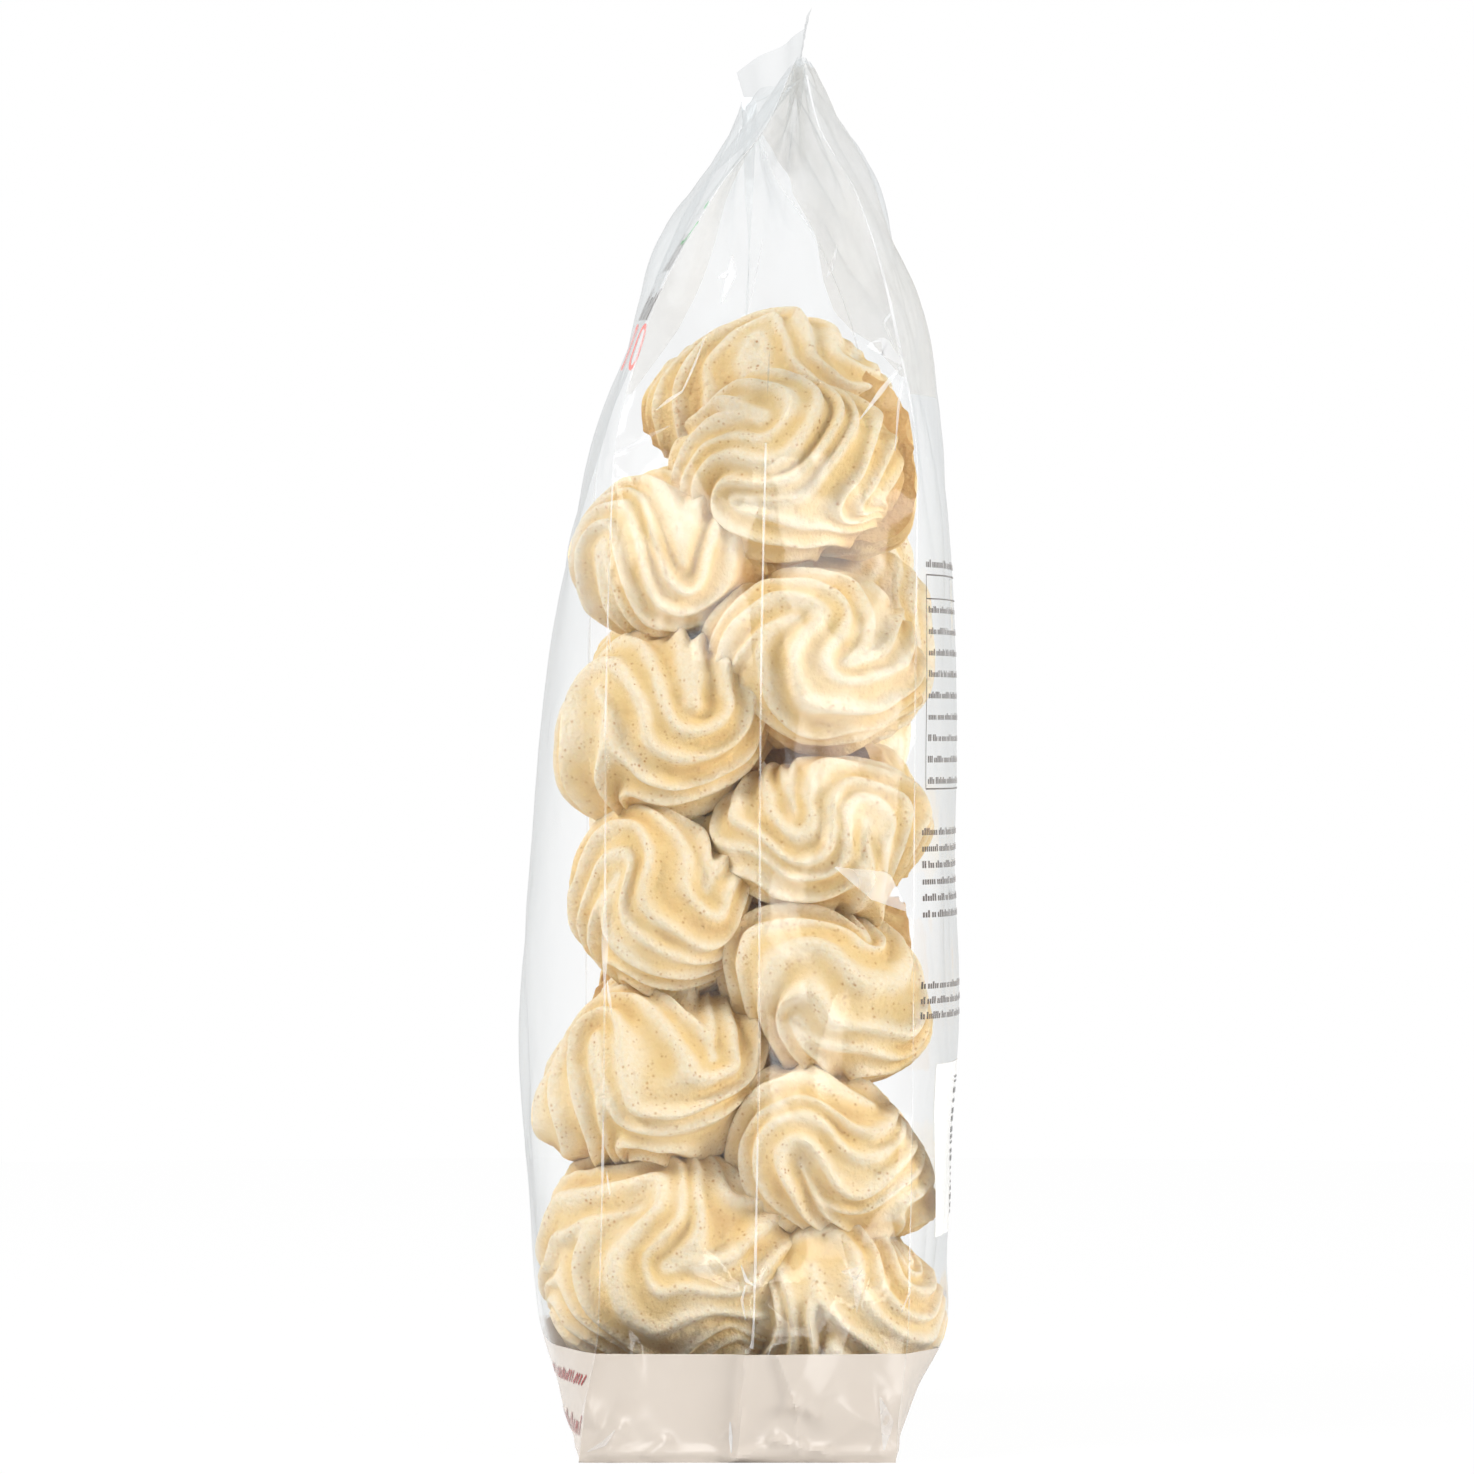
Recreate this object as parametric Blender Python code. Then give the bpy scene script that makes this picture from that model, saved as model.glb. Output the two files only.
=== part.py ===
"""Clear block-bottom bag of piped meringue shells, heat sealed at the top and standing on its base.

The bag is one closed solid: a flat rectangular base, two bowed panels (front at -X, back at +X),
a pleated gusset at each narrow side (near at -Y, far at +Y) that tucks in towards the top, and a
thin wavy seal strip.  Metres, +Z up, origin at the middle of the base.
"""
import math

import bmesh
import bpy

MM = 0.001

# Driving dimensions, in millimetres.
BAG_HEIGHT = 335.0
PANEL_WIDTH = 145.0          # film width of the front and of the back panel
GUSSET_WIDTH = 73.0          # film width of each side gusset, and depth of the base
SEAL_HEIGHT = 11.5           # height of the heat-sealed strip
SEAL_THICKNESS = 1.2
FILL_HEIGHT = 225.0          # level up to which the contents hold the gussets open
GUSSET_BOW = 3.0             # how far the contents push a gusset outwards
CLOSING_FROM = 272.0         # from here up the panels straighten towards the seal
PANEL_POWER = 3.2            # squareness of a bowed panel's curve

# The seal strip runs straight back from the near end, swings aside at the far end and leans.
SEAL_NEAR_X = 14.5
SEAL_FAR_X = 3.0
SEAL_SWING = -0.3            # where along the strip, from -1 to 1, the swing starts
SEAL_LEAN_NEAR = 2.8
SEAL_LEAN_FAR = -3.0
SEAL_DROP_FAR = 2.5          # the far end of the top edge is this much lower

# Outline of the bag by height: middle of the front panel, middle of the back panel, centre of
# the near gusset, centre of the far gusset (all X), and half the gap between gusset creases.
OUTLINE = (
    # height, front, back, near, far, half gap
    (0.0, -36.5, 36.5, 0.0, 0.0, 36.5),
    (11.0, -42.0, 40.8, 1.0, -0.5, 36.3),
    (32.0, -47.4, 47.4, 3.8, -1.5, 35.6),
    (98.0, -51.0, 51.0, 5.0, -2.0, 35.5),
    (170.0, -46.4, 50.6, 5.4, -1.5, 35.5),
    (228.0, -36.4, 48.2, 6.5, -0.5, 35.0),
    (262.0, -24.6, 43.2, 7.9, 2.0, 28.4),
    (292.0, -12.6, 29.8, 11.2, 3.0, 16.2),
    (308.0, -2.4, 19.2, 12.8, 3.0, 5.8),
    (323.5, 8.2, 9.3, 14.5, 3.0, 0.6),
)

# Mesh density.
PANEL_SEGMENTS = 18
GUSSET_SEGMENTS = 8
BODY_RINGS = 44
SEAL_RINGS = 3

FILM_COLOUR = (0.87, 0.76, 0.56, 1.0)
FILM_ROUGHNESS = 0.2

SEAL_BOTTOM = BAG_HEIGHT - SEAL_HEIGHT


def mix(a, b, t):
    """Value a fraction t of the way from a to b."""
    return a + (b - a) * t


def ease(low, high, value):
    """Smooth step from 0 at low to 1 at high."""
    t = min(max((value - low) / (high - low), 0.0), 1.0)
    return t * t * (3.0 - 2.0 * t)


def station_slope(index, column):
    """Slope of an outline column at one station, kept flat where the column turns back."""
    if index in (0, len(OUTLINE) - 1):
        other = 1 if index == 0 else index - 1
        rise = OUTLINE[other][column] - OUTLINE[index][column]
        return rise / (OUTLINE[other][0] - OUTLINE[index][0])
    before, here, after = OUTLINE[index - 1:index + 2]
    slope_in = (here[column] - before[column]) / (here[0] - before[0])
    slope_out = (after[column] - here[column]) / (after[0] - here[0])
    if slope_in * slope_out <= 0.0:
        return 0.0
    return 2.0 * slope_in * slope_out / (slope_in + slope_out)


def outline_at(height):
    """The five outline values at a height, on smooth curves through the stations."""
    index = 0
    while index < len(OUTLINE) - 2 and height > OUTLINE[index + 1][0]:
        index += 1
    low, high = OUTLINE[index], OUTLINE[index + 1]
    span = high[0] - low[0]
    t = min(max((height - low[0]) / span, 0.0), 1.0)
    values = []
    for column in range(1, len(low)):
        start = station_slope(index, column) * span
        end = station_slope(index + 1, column) * span
        values.append((2 * t**3 - 3 * t**2 + 1) * low[column] + (t**3 - 2 * t**2 + t) * start
                      + (3 * t**2 - 2 * t**3) * high[column] + (t**3 - t**2) * end)
    return values


def seal_x(side):
    """X of the seal strip's lower edge, for side from -1 (near) to +1 (far)."""
    return mix(SEAL_NEAR_X, SEAL_FAR_X, ease(SEAL_SWING, 1.0, side))


def panel_x(near, middle, far, side):
    """X across a bowed panel that passes through its two creases and its middle."""
    chord = mix(near, far, (side + 1.0) / 2.0)
    bow = middle - (near + far) / 2.0
    return chord + bow * (1.0 - abs(side) ** PANEL_POWER)


def half_width(bow):
    """Half the width of a panel whose film keeps its length as it bows."""
    return PANEL_WIDTH / 2.0 - 4.0 * bow * bow / (3.0 * PANEL_WIDTH)


def gusset_tuck(height, half_gap):
    """How far the gusset's centre crease lies inside the side of the bag (minus is outside)."""
    folded = math.sqrt(max((GUSSET_WIDTH / 2.0) ** 2 - half_gap ** 2, 0.0))
    folded *= ease(FILL_HEIGHT - 15.0, FILL_HEIGHT + 25.0, height)
    folded *= 1.0 - ease(SEAL_BOTTOM - 16.0, SEAL_BOTTOM, height)
    bowed = GUSSET_BOW * math.sin(math.pi * min(height / FILL_HEIGHT, 1.0))
    return folded - bowed


def section(height):
    """One closed ring of the bag below the seal, counter-clockwise seen from above."""
    front, back, near, far, half_gap = outline_at(height)
    closing = ease(CLOSING_FROM, SEAL_BOTTOM, height)
    bow = ((back - front) / 2.0 - half_gap) * (1.0 - closing)
    width = half_width(bow)
    tuck = gusset_tuck(height, half_gap)
    sides = [-1.0 + 2.0 * step / PANEL_SEGMENTS for step in range(PANEL_SEGMENTS + 1)]
    sway = [(seal_x(side) - mix(SEAL_NEAR_X, SEAL_FAR_X, (side + 1.0) / 2.0)) * closing
            for side in sides]

    ring = []
    for step in range(1, GUSSET_SEGMENTS):
        across = -1.0 + 2.0 * step / GUSSET_SEGMENTS
        ring.append((near + across * half_gap, -width + tuck * (1.0 - abs(across)), height))
    for side, shift in zip(sides, sway):
        ring.append((panel_x(near + half_gap, back, far + half_gap, side) + shift,
                     width * side, height))
    for step in range(1, GUSSET_SEGMENTS):
        across = 1.0 - 2.0 * step / GUSSET_SEGMENTS
        ring.append((far + across * half_gap, width - tuck * (1.0 - abs(across)), height))
    for side, shift in zip(reversed(sides), reversed(sway)):
        ring.append((panel_x(near - half_gap, front, far - half_gap, side) + shift,
                     width * side, height))
    return ring


def seal_section(rise):
    """One closed ring of the seal strip, a fraction rise of its height above its lower edge."""
    half = SEAL_THICKNESS / 2.0
    width = PANEL_WIDTH / 2.0
    sides = [-1.0 + 2.0 * step / PANEL_SEGMENTS for step in range(PANEL_SEGMENTS + 1)]

    def place(side, offset):
        along = (side + 1.0) / 2.0
        lean = mix(SEAL_LEAN_NEAR, SEAL_LEAN_FAR, along) * rise
        top = BAG_HEIGHT - SEAL_DROP_FAR * along
        return (seal_x(side) + lean + offset, width * side, mix(SEAL_BOTTOM, top, rise))

    ring = []
    for step in range(1, GUSSET_SEGMENTS):
        ring.append(place(-1.0, half * (-1.0 + 2.0 * step / GUSSET_SEGMENTS)))
    for side in sides:
        ring.append(place(side, half))
    for step in range(1, GUSSET_SEGMENTS):
        ring.append(place(1.0, half * (1.0 - 2.0 * step / GUSSET_SEGMENTS)))
    for side in reversed(sides):
        ring.append(place(side, -half))
    return ring


def loft(name, rings):
    """Closed mesh through a list of rings with equal point counts, capped at both ends."""
    mesh = bpy.data.meshes.new(name)
    shape = bmesh.new()
    levels = []
    for ring in rings:
        levels.append([shape.verts.new((x * MM, y * MM, z * MM)) for x, y, z in ring])
    for lower, upper in zip(levels, levels[1:]):
        for index, corner in enumerate(lower):
            following = (index + 1) % len(lower)
            shape.faces.new((corner, lower[following], upper[following], upper[index]))
    shape.faces.new(tuple(reversed(levels[0])))
    shape.faces.new(tuple(levels[-1]))
    bmesh.ops.recalc_face_normals(shape, faces=shape.faces)
    shape.to_mesh(mesh)
    shape.free()
    return bpy.data.objects.new(name, mesh)


def film_material():
    """Clear film over pale cream shells."""
    material = bpy.data.materials.new("clear_film_over_meringue")
    material.use_nodes = True
    surface = material.node_tree.nodes["Principled BSDF"]
    surface.inputs["Base Color"].default_value = FILM_COLOUR
    surface.inputs["Roughness"].default_value = FILM_ROUGHNESS
    surface.inputs["Metallic"].default_value = 0.0
    return material


def build_bag(collection):
    """The filled bag, from its base up to the top edge of its seal."""
    rings = [section(SEAL_BOTTOM * step / BODY_RINGS) for step in range(BODY_RINGS)]
    rings += [seal_section(step / SEAL_RINGS) for step in range(SEAL_RINGS + 1)]
    bag = loft("sealed_bag", rings)
    bag.data.materials.append(film_material())
    bag.data.shade_smooth()
    bag.data.set_sharp_from_angle(angle=math.radians(35.0))
    collection.objects.link(bag)
    return bag


def clear_scene():
    """Remove whatever objects the scene starts with."""
    for leftover in list(bpy.data.objects):
        bpy.data.objects.remove(leftover, do_unlink=True)


def main():
    clear_scene()
    collection = bpy.data.collections.new("meringue_bag")
    bpy.context.scene.collection.children.link(collection)
    build_bag(collection)


main()
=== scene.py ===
"""Looks of a clear sealed bag of piped meringue shells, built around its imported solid."""

import math

import bpy
import numpy as np
from mathutils import Matrix, Vector
from mathutils.bvhtree import BVHTree


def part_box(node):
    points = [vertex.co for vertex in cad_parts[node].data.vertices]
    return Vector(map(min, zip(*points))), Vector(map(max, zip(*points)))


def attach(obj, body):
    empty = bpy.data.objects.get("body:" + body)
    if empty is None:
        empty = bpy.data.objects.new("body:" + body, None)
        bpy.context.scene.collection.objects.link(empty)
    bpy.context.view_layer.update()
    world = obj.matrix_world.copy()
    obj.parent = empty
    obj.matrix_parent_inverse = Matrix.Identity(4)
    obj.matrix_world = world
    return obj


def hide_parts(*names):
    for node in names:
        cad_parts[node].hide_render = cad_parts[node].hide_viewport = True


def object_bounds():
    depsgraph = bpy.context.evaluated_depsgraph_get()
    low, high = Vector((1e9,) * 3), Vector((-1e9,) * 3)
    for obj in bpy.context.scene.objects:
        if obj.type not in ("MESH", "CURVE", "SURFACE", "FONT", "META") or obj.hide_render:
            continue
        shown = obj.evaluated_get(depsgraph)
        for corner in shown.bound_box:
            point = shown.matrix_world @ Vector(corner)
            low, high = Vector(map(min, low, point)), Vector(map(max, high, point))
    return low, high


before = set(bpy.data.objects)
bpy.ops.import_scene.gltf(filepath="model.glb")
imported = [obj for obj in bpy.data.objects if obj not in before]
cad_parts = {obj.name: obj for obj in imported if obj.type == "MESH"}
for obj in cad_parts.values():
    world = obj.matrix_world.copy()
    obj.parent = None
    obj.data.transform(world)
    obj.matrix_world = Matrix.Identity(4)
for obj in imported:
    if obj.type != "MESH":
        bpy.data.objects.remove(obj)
cad_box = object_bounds()

MM = 0.001
BAG = "sealed_bag"

# ---------------------------------------------------------------------------------------------
# The bag's own measures, in millimetres
# ---------------------------------------------------------------------------------------------

BAG_HEIGHT = (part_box(BAG)[1].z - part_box(BAG)[0].z) / MM
PANEL_WIDTH = 145.0          # film width of the front and of the back panel
GUSSET_WIDTH = 73.0          # film width of each side gusset, and depth of the base
SEAL_HEIGHT = 11.5
SEAL_BOTTOM = BAG_HEIGHT - SEAL_HEIGHT
FILL_HEIGHT = 225.0          # level up to which the shells hold the gussets open
GUSSET_BOW = 3.0
CLOSING_FROM = 272.0         # from here up the panels straighten towards the seal
PANEL_POWER = 3.2
BASE_GAP = 1.2

SEAL_NEAR_X = 14.5
SEAL_FAR_X = 3.0
SEAL_SWING = -0.3            # where along the seal, from -1 to 1, it starts to swing aside
SEAL_LEAN_NEAR = 2.8
SEAL_LEAN_FAR = -3.0
SEAL_DROP_FAR = 2.5

# Outline of the bag by height: middle of the front panel, middle of the back panel, centre of
# the near gusset, centre of the far gusset (all X), and half the gap between gusset creases.
OUTLINE = np.array((
    # height, front, back, near, far, half gap
    (0.0, -36.5, 36.5, 0.0, 0.0, 36.5),
    (11.0, -42.0, 40.8, 1.0, -0.5, 36.3),
    (32.0, -47.4, 47.4, 3.8, -1.5, 35.6),
    (98.0, -51.0, 51.0, 5.0, -2.0, 35.5),
    (170.0, -46.4, 50.6, 5.4, -1.5, 35.5),
    (228.0, -36.4, 48.2, 6.5, -0.5, 35.0),
    (262.0, -24.6, 43.2, 7.9, 2.0, 28.4),
    (292.0, -12.6, 29.8, 11.2, 3.0, 16.2),
    (308.0, -2.4, 19.2, 12.8, 3.0, 5.8),
    (323.5, 8.2, 9.3, 14.5, 3.0, 0.6),
))


def mix(a, b, t):
    """Value a fraction t of the way from a to b."""
    return a + (b - a) * t


def ease(low, high, value):
    """Smooth step from 0 at low to 1 at high."""
    t = np.clip((value - low) / (high - low), 0.0, 1.0)
    return t * t * (3.0 - 2.0 * t)


def station_slopes(column):
    """Slopes of an outline column at its stations, flat where the column turns back."""
    rise = np.diff(OUTLINE[:, column]) / np.diff(OUTLINE[:, 0])
    slopes = np.zeros(len(OUTLINE))
    slopes[0] = rise[0]
    slopes[-1] = rise[-1]
    for index in range(1, len(OUTLINE) - 1):
        before, after = rise[index - 1], rise[index]
        if before * after > 0.0:
            slopes[index] = 2.0 * before * after / (before + after)
    return slopes


STATION_SLOPES = [station_slopes(column) for column in range(1, OUTLINE.shape[1])]


def outline_at(height):
    """Front, back, near, far and half-gap curves of the bag at an array of heights."""
    height = np.asarray(height, float)
    index = np.clip(np.searchsorted(OUTLINE[:, 0], height) - 1, 0, len(OUTLINE) - 2)
    low = OUTLINE[index, 0]
    span = OUTLINE[index + 1, 0] - low
    t = np.clip((height - low) / span, 0.0, 1.0)
    values = []
    for column, slopes in enumerate(STATION_SLOPES, start=1):
        values.append((2 * t**3 - 3 * t**2 + 1) * OUTLINE[index, column]
                      + (t**3 - 2 * t**2 + t) * slopes[index] * span
                      + (3 * t**2 - 2 * t**3) * OUTLINE[index + 1, column]
                      + (t**3 - t**2) * slopes[index + 1] * span)
    return values


def panel_x(near, middle, far, side):
    """X across a bowed panel that passes through its two creases and its middle."""
    chord = mix(near, far, (side + 1.0) / 2.0)
    bow = middle - (near + far) / 2.0
    return chord + bow * (1.0 - np.abs(side) ** PANEL_POWER)


def bag_half_width(height):
    """Half the width of the bag at a height: bowed panels draw the gussets in."""
    front, back, _, _, half_gap = outline_at(height)
    closing = ease(CLOSING_FROM, SEAL_BOTTOM, height)
    bow = ((back - front) / 2.0 - half_gap) * (1.0 - closing)
    return PANEL_WIDTH / 2.0 - 4.0 * bow * bow / (3.0 * PANEL_WIDTH)


def poke_out(points):
    """How far points (millimetres) stick out of the bag's walls, as an array, minus inside.

    The base counts from BASE_GAP above it, so that shells don't come through the printed film.
    """
    x, y, z = points[..., 0], points[..., 1], points[..., 2]
    front, back, near, far, half_gap = outline_at(z)
    width = bag_half_width(z)
    side = np.clip(y / width, -1.0, 1.0)
    past_front = panel_x(near - half_gap, front, far - half_gap, side) - x
    past_back = x - panel_x(near + half_gap, back, far + half_gap, side)
    folded = np.sqrt(np.maximum((GUSSET_WIDTH / 2.0) ** 2 - half_gap ** 2, 0.0))
    folded = folded * ease(FILL_HEIGHT - 15.0, FILL_HEIGHT + 25.0, z)
    reach = np.clip(1.0 - np.abs(x - near) / half_gap, 0.0, 1.0)
    past_near = -width + folded * reach - y
    past_far = y - width + folded * np.clip(1.0 - np.abs(x - far) / half_gap, 0.0, 1.0)
    return np.max([past_front, past_back, past_near, past_far, BASE_GAP - z], axis=0)


PANELS = ("near", "back", "far", "front")


def seal_x(side):
    """X of the seal's lower edge, for side from -1 (near) to +1 (far)."""
    return mix(SEAL_NEAR_X, SEAL_FAR_X, ease(SEAL_SWING, 1.0, side))


def bag_wall(panel, across, height):
    """Points of one film panel, for across from -1 to +1 (anticlockwise) and height in mm."""
    across, height = np.broadcast_arrays(across, height)
    front, back, near, far, half_gap = outline_at(height)
    width = bag_half_width(height)
    if panel in ("near", "far"):
        centre, outward = (near, -1.0) if panel == "near" else (far, 1.0)
        folded = np.sqrt(np.maximum((GUSSET_WIDTH / 2.0) ** 2 - half_gap ** 2, 0.0))
        folded = folded * ease(FILL_HEIGHT - 15.0, FILL_HEIGHT + 25.0, height)
        bowed = GUSSET_BOW * np.sin(math.pi * np.minimum(height / FILL_HEIGHT, 1.0))
        depth = width - folded * (1.0 - np.abs(across)) + bowed * (1.0 - across ** 2)
        return np.stack([centre - outward * across * half_gap, outward * depth, height], -1)
    side = across if panel == "back" else -across
    middle, edge = (back, half_gap) if panel == "back" else (front, -half_gap)
    closing = ease(CLOSING_FROM, SEAL_BOTTOM, height)
    sway = (seal_x(side) - mix(SEAL_NEAR_X, SEAL_FAR_X, (side + 1.0) / 2.0)) * closing
    return np.stack([panel_x(near + edge, middle, far + edge, side) + sway, width * side, height], -1)


# ---------------------------------------------------------------------------------------------
# Shader building blocks
# ---------------------------------------------------------------------------------------------

def new_material(name):
    """A material with its node tree, node maker and Principled shader."""
    material = bpy.data.materials.new(name)
    material.use_nodes = True
    tree = material.node_tree
    return material, tree, tree.nodes["Principled BSDF"]


def node(tree, kind, **values):
    """Add a node; keyword arguments set its properties."""
    made = tree.nodes.new(kind)
    for key, value in values.items():
        setattr(made, key, value)
    return made


def group_socket(group, name, way, kind, value=None):
    """Add a named input or output to a node group."""
    socket = group.interface.new_socket(name, in_out=way, socket_type="NodeSocket" + kind)
    if value is not None:
        socket.default_value = value
    return socket


def specks_group():
    """Scattered round specks: a mask that is 1 on a speck, thinned out in drifts."""
    group = bpy.data.node_groups.new("scattered_specks", "ShaderNodeTree")
    group_socket(group, "Position", "INPUT", "Vector")
    group_socket(group, "Specks per Metre", "INPUT", "Float", 600.0)
    group_socket(group, "Size", "INPUT", "Float", 0.2)
    group_socket(group, "Kept", "INPUT", "Float", 0.4)
    group_socket(group, "Mask", "OUTPUT", "Float")
    start = node(group, "NodeGroupInput")
    cells = node(group, "ShaderNodeTexVoronoi")
    group.links.new(start.outputs["Position"], cells.inputs["Vector"])
    group.links.new(start.outputs["Specks per Metre"], cells.inputs["Scale"])
    split = node(group, "ShaderNodeSeparateColor")
    group.links.new(cells.outputs["Color"], split.inputs["Color"])
    keep = node(group, "ShaderNodeMath", operation="LESS_THAN")
    group.links.new(split.outputs["Red"], keep.inputs[0])
    group.links.new(start.outputs["Kept"], keep.inputs[1])
    grown = node(group, "ShaderNodeMath", operation="MULTIPLY")
    group.links.new(split.outputs["Green"], grown.inputs[0])
    group.links.new(start.outputs["Size"], grown.inputs[1])
    edge = node(group, "ShaderNodeMapRange", interpolation_type="SMOOTHSTEP")
    edge.inputs["To Min"].default_value = 1.0
    edge.inputs["To Max"].default_value = 0.0
    edge.inputs["From Min"].default_value = 0.0
    group.links.new(cells.outputs["Distance"], edge.inputs["Value"])
    group.links.new(grown.outputs["Value"], edge.inputs["From Max"])
    mask = node(group, "ShaderNodeMath", operation="MULTIPLY")
    group.links.new(edge.outputs["Result"], mask.inputs[0])
    group.links.new(keep.outputs["Value"], mask.inputs[1])
    end = node(group, "NodeGroupOutput")
    group.links.new(mask.outputs["Value"], end.inputs["Mask"])
    return group


def specks(tree, group, position, density, size, kept):
    """Place the speck group in a material and return its mask."""
    made = node(tree, "ShaderNodeGroup", node_tree=group)
    tree.links.new(position, made.inputs["Position"])
    made.inputs["Specks per Metre"].default_value = density
    made.inputs["Size"].default_value = size
    made.inputs["Kept"].default_value = kept
    return made.outputs["Mask"]


def noise(tree, position, scale, detail=2.0, roughness=0.5):
    made = node(tree, "ShaderNodeTexNoise")
    made.inputs["Scale"].default_value = scale
    made.inputs["Detail"].default_value = detail
    made.inputs["Roughness"].default_value = roughness
    tree.links.new(position, made.inputs["Vector"])
    return made.outputs["Fac"]


def blend_colour(tree, amount, first, second):
    """Mix two colours, each a colour value or an output socket."""
    made = node(tree, "ShaderNodeMix", data_type="RGBA")
    for socket, value in ((made.inputs["Factor"], amount), (made.inputs["A"], first), (made.inputs["B"], second)):
        connect(tree, socket, value)
    return made.outputs["Result"]


def connect(tree, socket, value):
    """Link an output socket to an input, or set the input's own value."""
    if isinstance(value, bpy.types.NodeSocket):
        tree.links.new(value, socket)
    else:
        socket.default_value = value


def remap(tree, value, low, high, to_low=0.0, to_high=1.0):
    """Smoothly map a value from one range to another."""
    made = node(tree, "ShaderNodeMapRange", interpolation_type="SMOOTHSTEP")
    tree.links.new(value, made.inputs["Value"])
    for name, number in (("From Min", low), ("From Max", high), ("To Min", to_low), ("To Max", to_high)):
        made.inputs[name].default_value = number
    return made.outputs["Result"]


def bump(tree, height, distance, strength=1.0, under=None):
    made = node(tree, "ShaderNodeBump")
    made.inputs["Distance"].default_value = distance
    made.inputs["Strength"].default_value = strength
    tree.links.new(height, made.inputs["Height"])
    if under is not None:
        tree.links.new(under, made.inputs["Normal"])
    return made.outputs["Normal"]


# Toast colours: the tan and the deep brown also paint shade into the grooves between ridges and onto the skirts round
# the flat base
CREAM = (0.885, 0.785, 0.60, 1.0)
TOAST_AND_SHADE_TAN = (0.82, 0.60, 0.28, 1.0)
BAKED_AND_GAP_SHADE = (0.60, 0.34, 0.12, 1.0)
SPECK_BROWN = (0.52, 0.26, 0.08, 1.0)


def meringue_material():
    """Baked sugar foam: cream crests, hollows and skirts toasted darker with painted shade, brown specks, pores and a
    fine grain.
    """
    material, tree, surface = new_material("baked_meringue")
    position = node(tree, "ShaderNodeTexCoord").outputs["Object"]
    group = specks_group()
    hollow_shade_and_toast = node(tree, "ShaderNodeAttribute", attribute_name="toast_and_shade").outputs["Fac"]
    drift = remap(tree, noise(tree, position, 70.0), 0.35, 0.7, -0.22, 0.22)
    level = node(tree, "ShaderNodeMath", operation="ADD", use_clamp=True)
    tree.links.new(hollow_shade_and_toast, level.inputs[0])
    tree.links.new(drift, level.inputs[1])
    # Painted shade, partly real browning: the toast attribute darkens grooves towards tan and skirts towards deep
    # brown
    colour = blend_colour(tree, remap(tree, level.outputs["Value"], 0.0, 0.8), CREAM, TOAST_AND_SHADE_TAN)
    colour = blend_colour(tree, remap(tree, level.outputs["Value"], 0.7, 1.1), colour, BAKED_AND_GAP_SHADE)
    mottle = remap(tree, noise(tree, position, 900.0, 3.0, 0.7), 0.3, 0.75, 0.0, 0.4)
    colour = blend_colour(tree, mottle, colour, TOAST_AND_SHADE_TAN)
    clusters = remap(tree, noise(tree, position, 110.0), 0.42, 0.68)
    fine = specks(tree, group, position, 900.0, 0.55, 0.5)
    gathered = specks(tree, group, position, 700.0, 0.5, 0.5)
    pores = specks(tree, group, position, 120.0, 0.1, 0.3)
    for mask, strength in ((fine, 0.7), (gathered, clusters), (pores, 0.65)):
        amount = node(tree, "ShaderNodeMath", operation="MULTIPLY")
        tree.links.new(mask, amount.inputs[0])
        connect(tree, amount.inputs[1], strength)
        colour = blend_colour(tree, amount.outputs["Value"], colour, SPECK_BROWN)
    tree.links.new(colour, surface.inputs["Base Color"])
    grain = bump(tree, noise(tree, position, 1500.0, 4.0, 0.75), 0.0006, 0.6)
    bubbly = bump(tree, noise(tree, position, 420.0, 2.0, 0.6), 0.0012, 0.7, grain)
    pitted = bump(tree, pores, -0.0005, 1.0, bubbly)
    tree.links.new(pitted, surface.inputs["Normal"])
    surface.inputs["Roughness"].default_value = 0.8
    surface.inputs["Subsurface Weight"].default_value = 0.2
    surface.inputs["Subsurface Radius"].default_value = (1.0, 0.6, 0.3)
    surface.inputs["Subsurface Scale"].default_value = 0.0015
    return material


def film_material():
    """Clear glossy film: it mirrors more at a grazing view and is a little milky."""
    material, tree, surface = new_material("clear_film")
    surface.inputs["Base Color"].default_value = (0.80, 0.85, 0.87, 1.0)
    surface.inputs["Metallic"].default_value = 0.75
    surface.inputs["Roughness"].default_value = 0.09
    view = node(tree, "ShaderNodeLayerWeight")
    view.inputs["Blend"].default_value = 0.5
    grazing = node(tree, "ShaderNodeMath", operation="POWER")
    grazing.inputs[1].default_value = 5.0
    cover = node(tree, "ShaderNodeMath", operation="MULTIPLY_ADD", use_clamp=True)
    cover.inputs[1].default_value = 0.85
    parts = node(tree, "ShaderNodeSeparateXYZ")
    tree.links.new(node(tree, "ShaderNodeTexCoord").outputs["Object"], parts.inputs["Vector"])
    tree.links.new(remap(tree, parts.outputs["Z"], 0.225, 0.27, 0.06, 0.105), cover.inputs[2])
    tree.links.new(view.outputs["Facing"], grazing.inputs[0])
    tree.links.new(grazing.outputs["Value"], cover.inputs[0])
    tree.links.new(cover.outputs["Value"], surface.inputs["Alpha"])
    return material


def painted_highlight_material(low, high):
    """Painted highlight along a fold of the film: white, stronger in some stretches than in others."""
    material, tree, surface = new_material("crease_painted_highlight")
    position = node(tree, "ShaderNodeTexCoord").outputs["Object"]
    surface.inputs["Base Color"].default_value = (0.97, 0.98, 1.0, 1.0)
    surface.inputs["Roughness"].default_value = 0.3
    stretch = remap(tree, noise(tree, position, 45.0), 0.35, 0.65, low, high)
    tree.links.new(stretch, surface.inputs["Alpha"])
    return material


def doubled_material():
    """Film lying double: greyer and less clear."""
    material, tree, surface = new_material("doubled_film")
    position = node(tree, "ShaderNodeTexCoord").outputs["Object"]
    surface.inputs["Base Color"].default_value = (0.60, 0.575, 0.53, 1.0)
    surface.inputs["Roughness"].default_value = 0.25
    drift = noise(tree, position, 60.0)
    tree.links.new(remap(tree, drift, 0.3, 0.7, 0.24, 0.38), surface.inputs["Alpha"])
    return material


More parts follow.
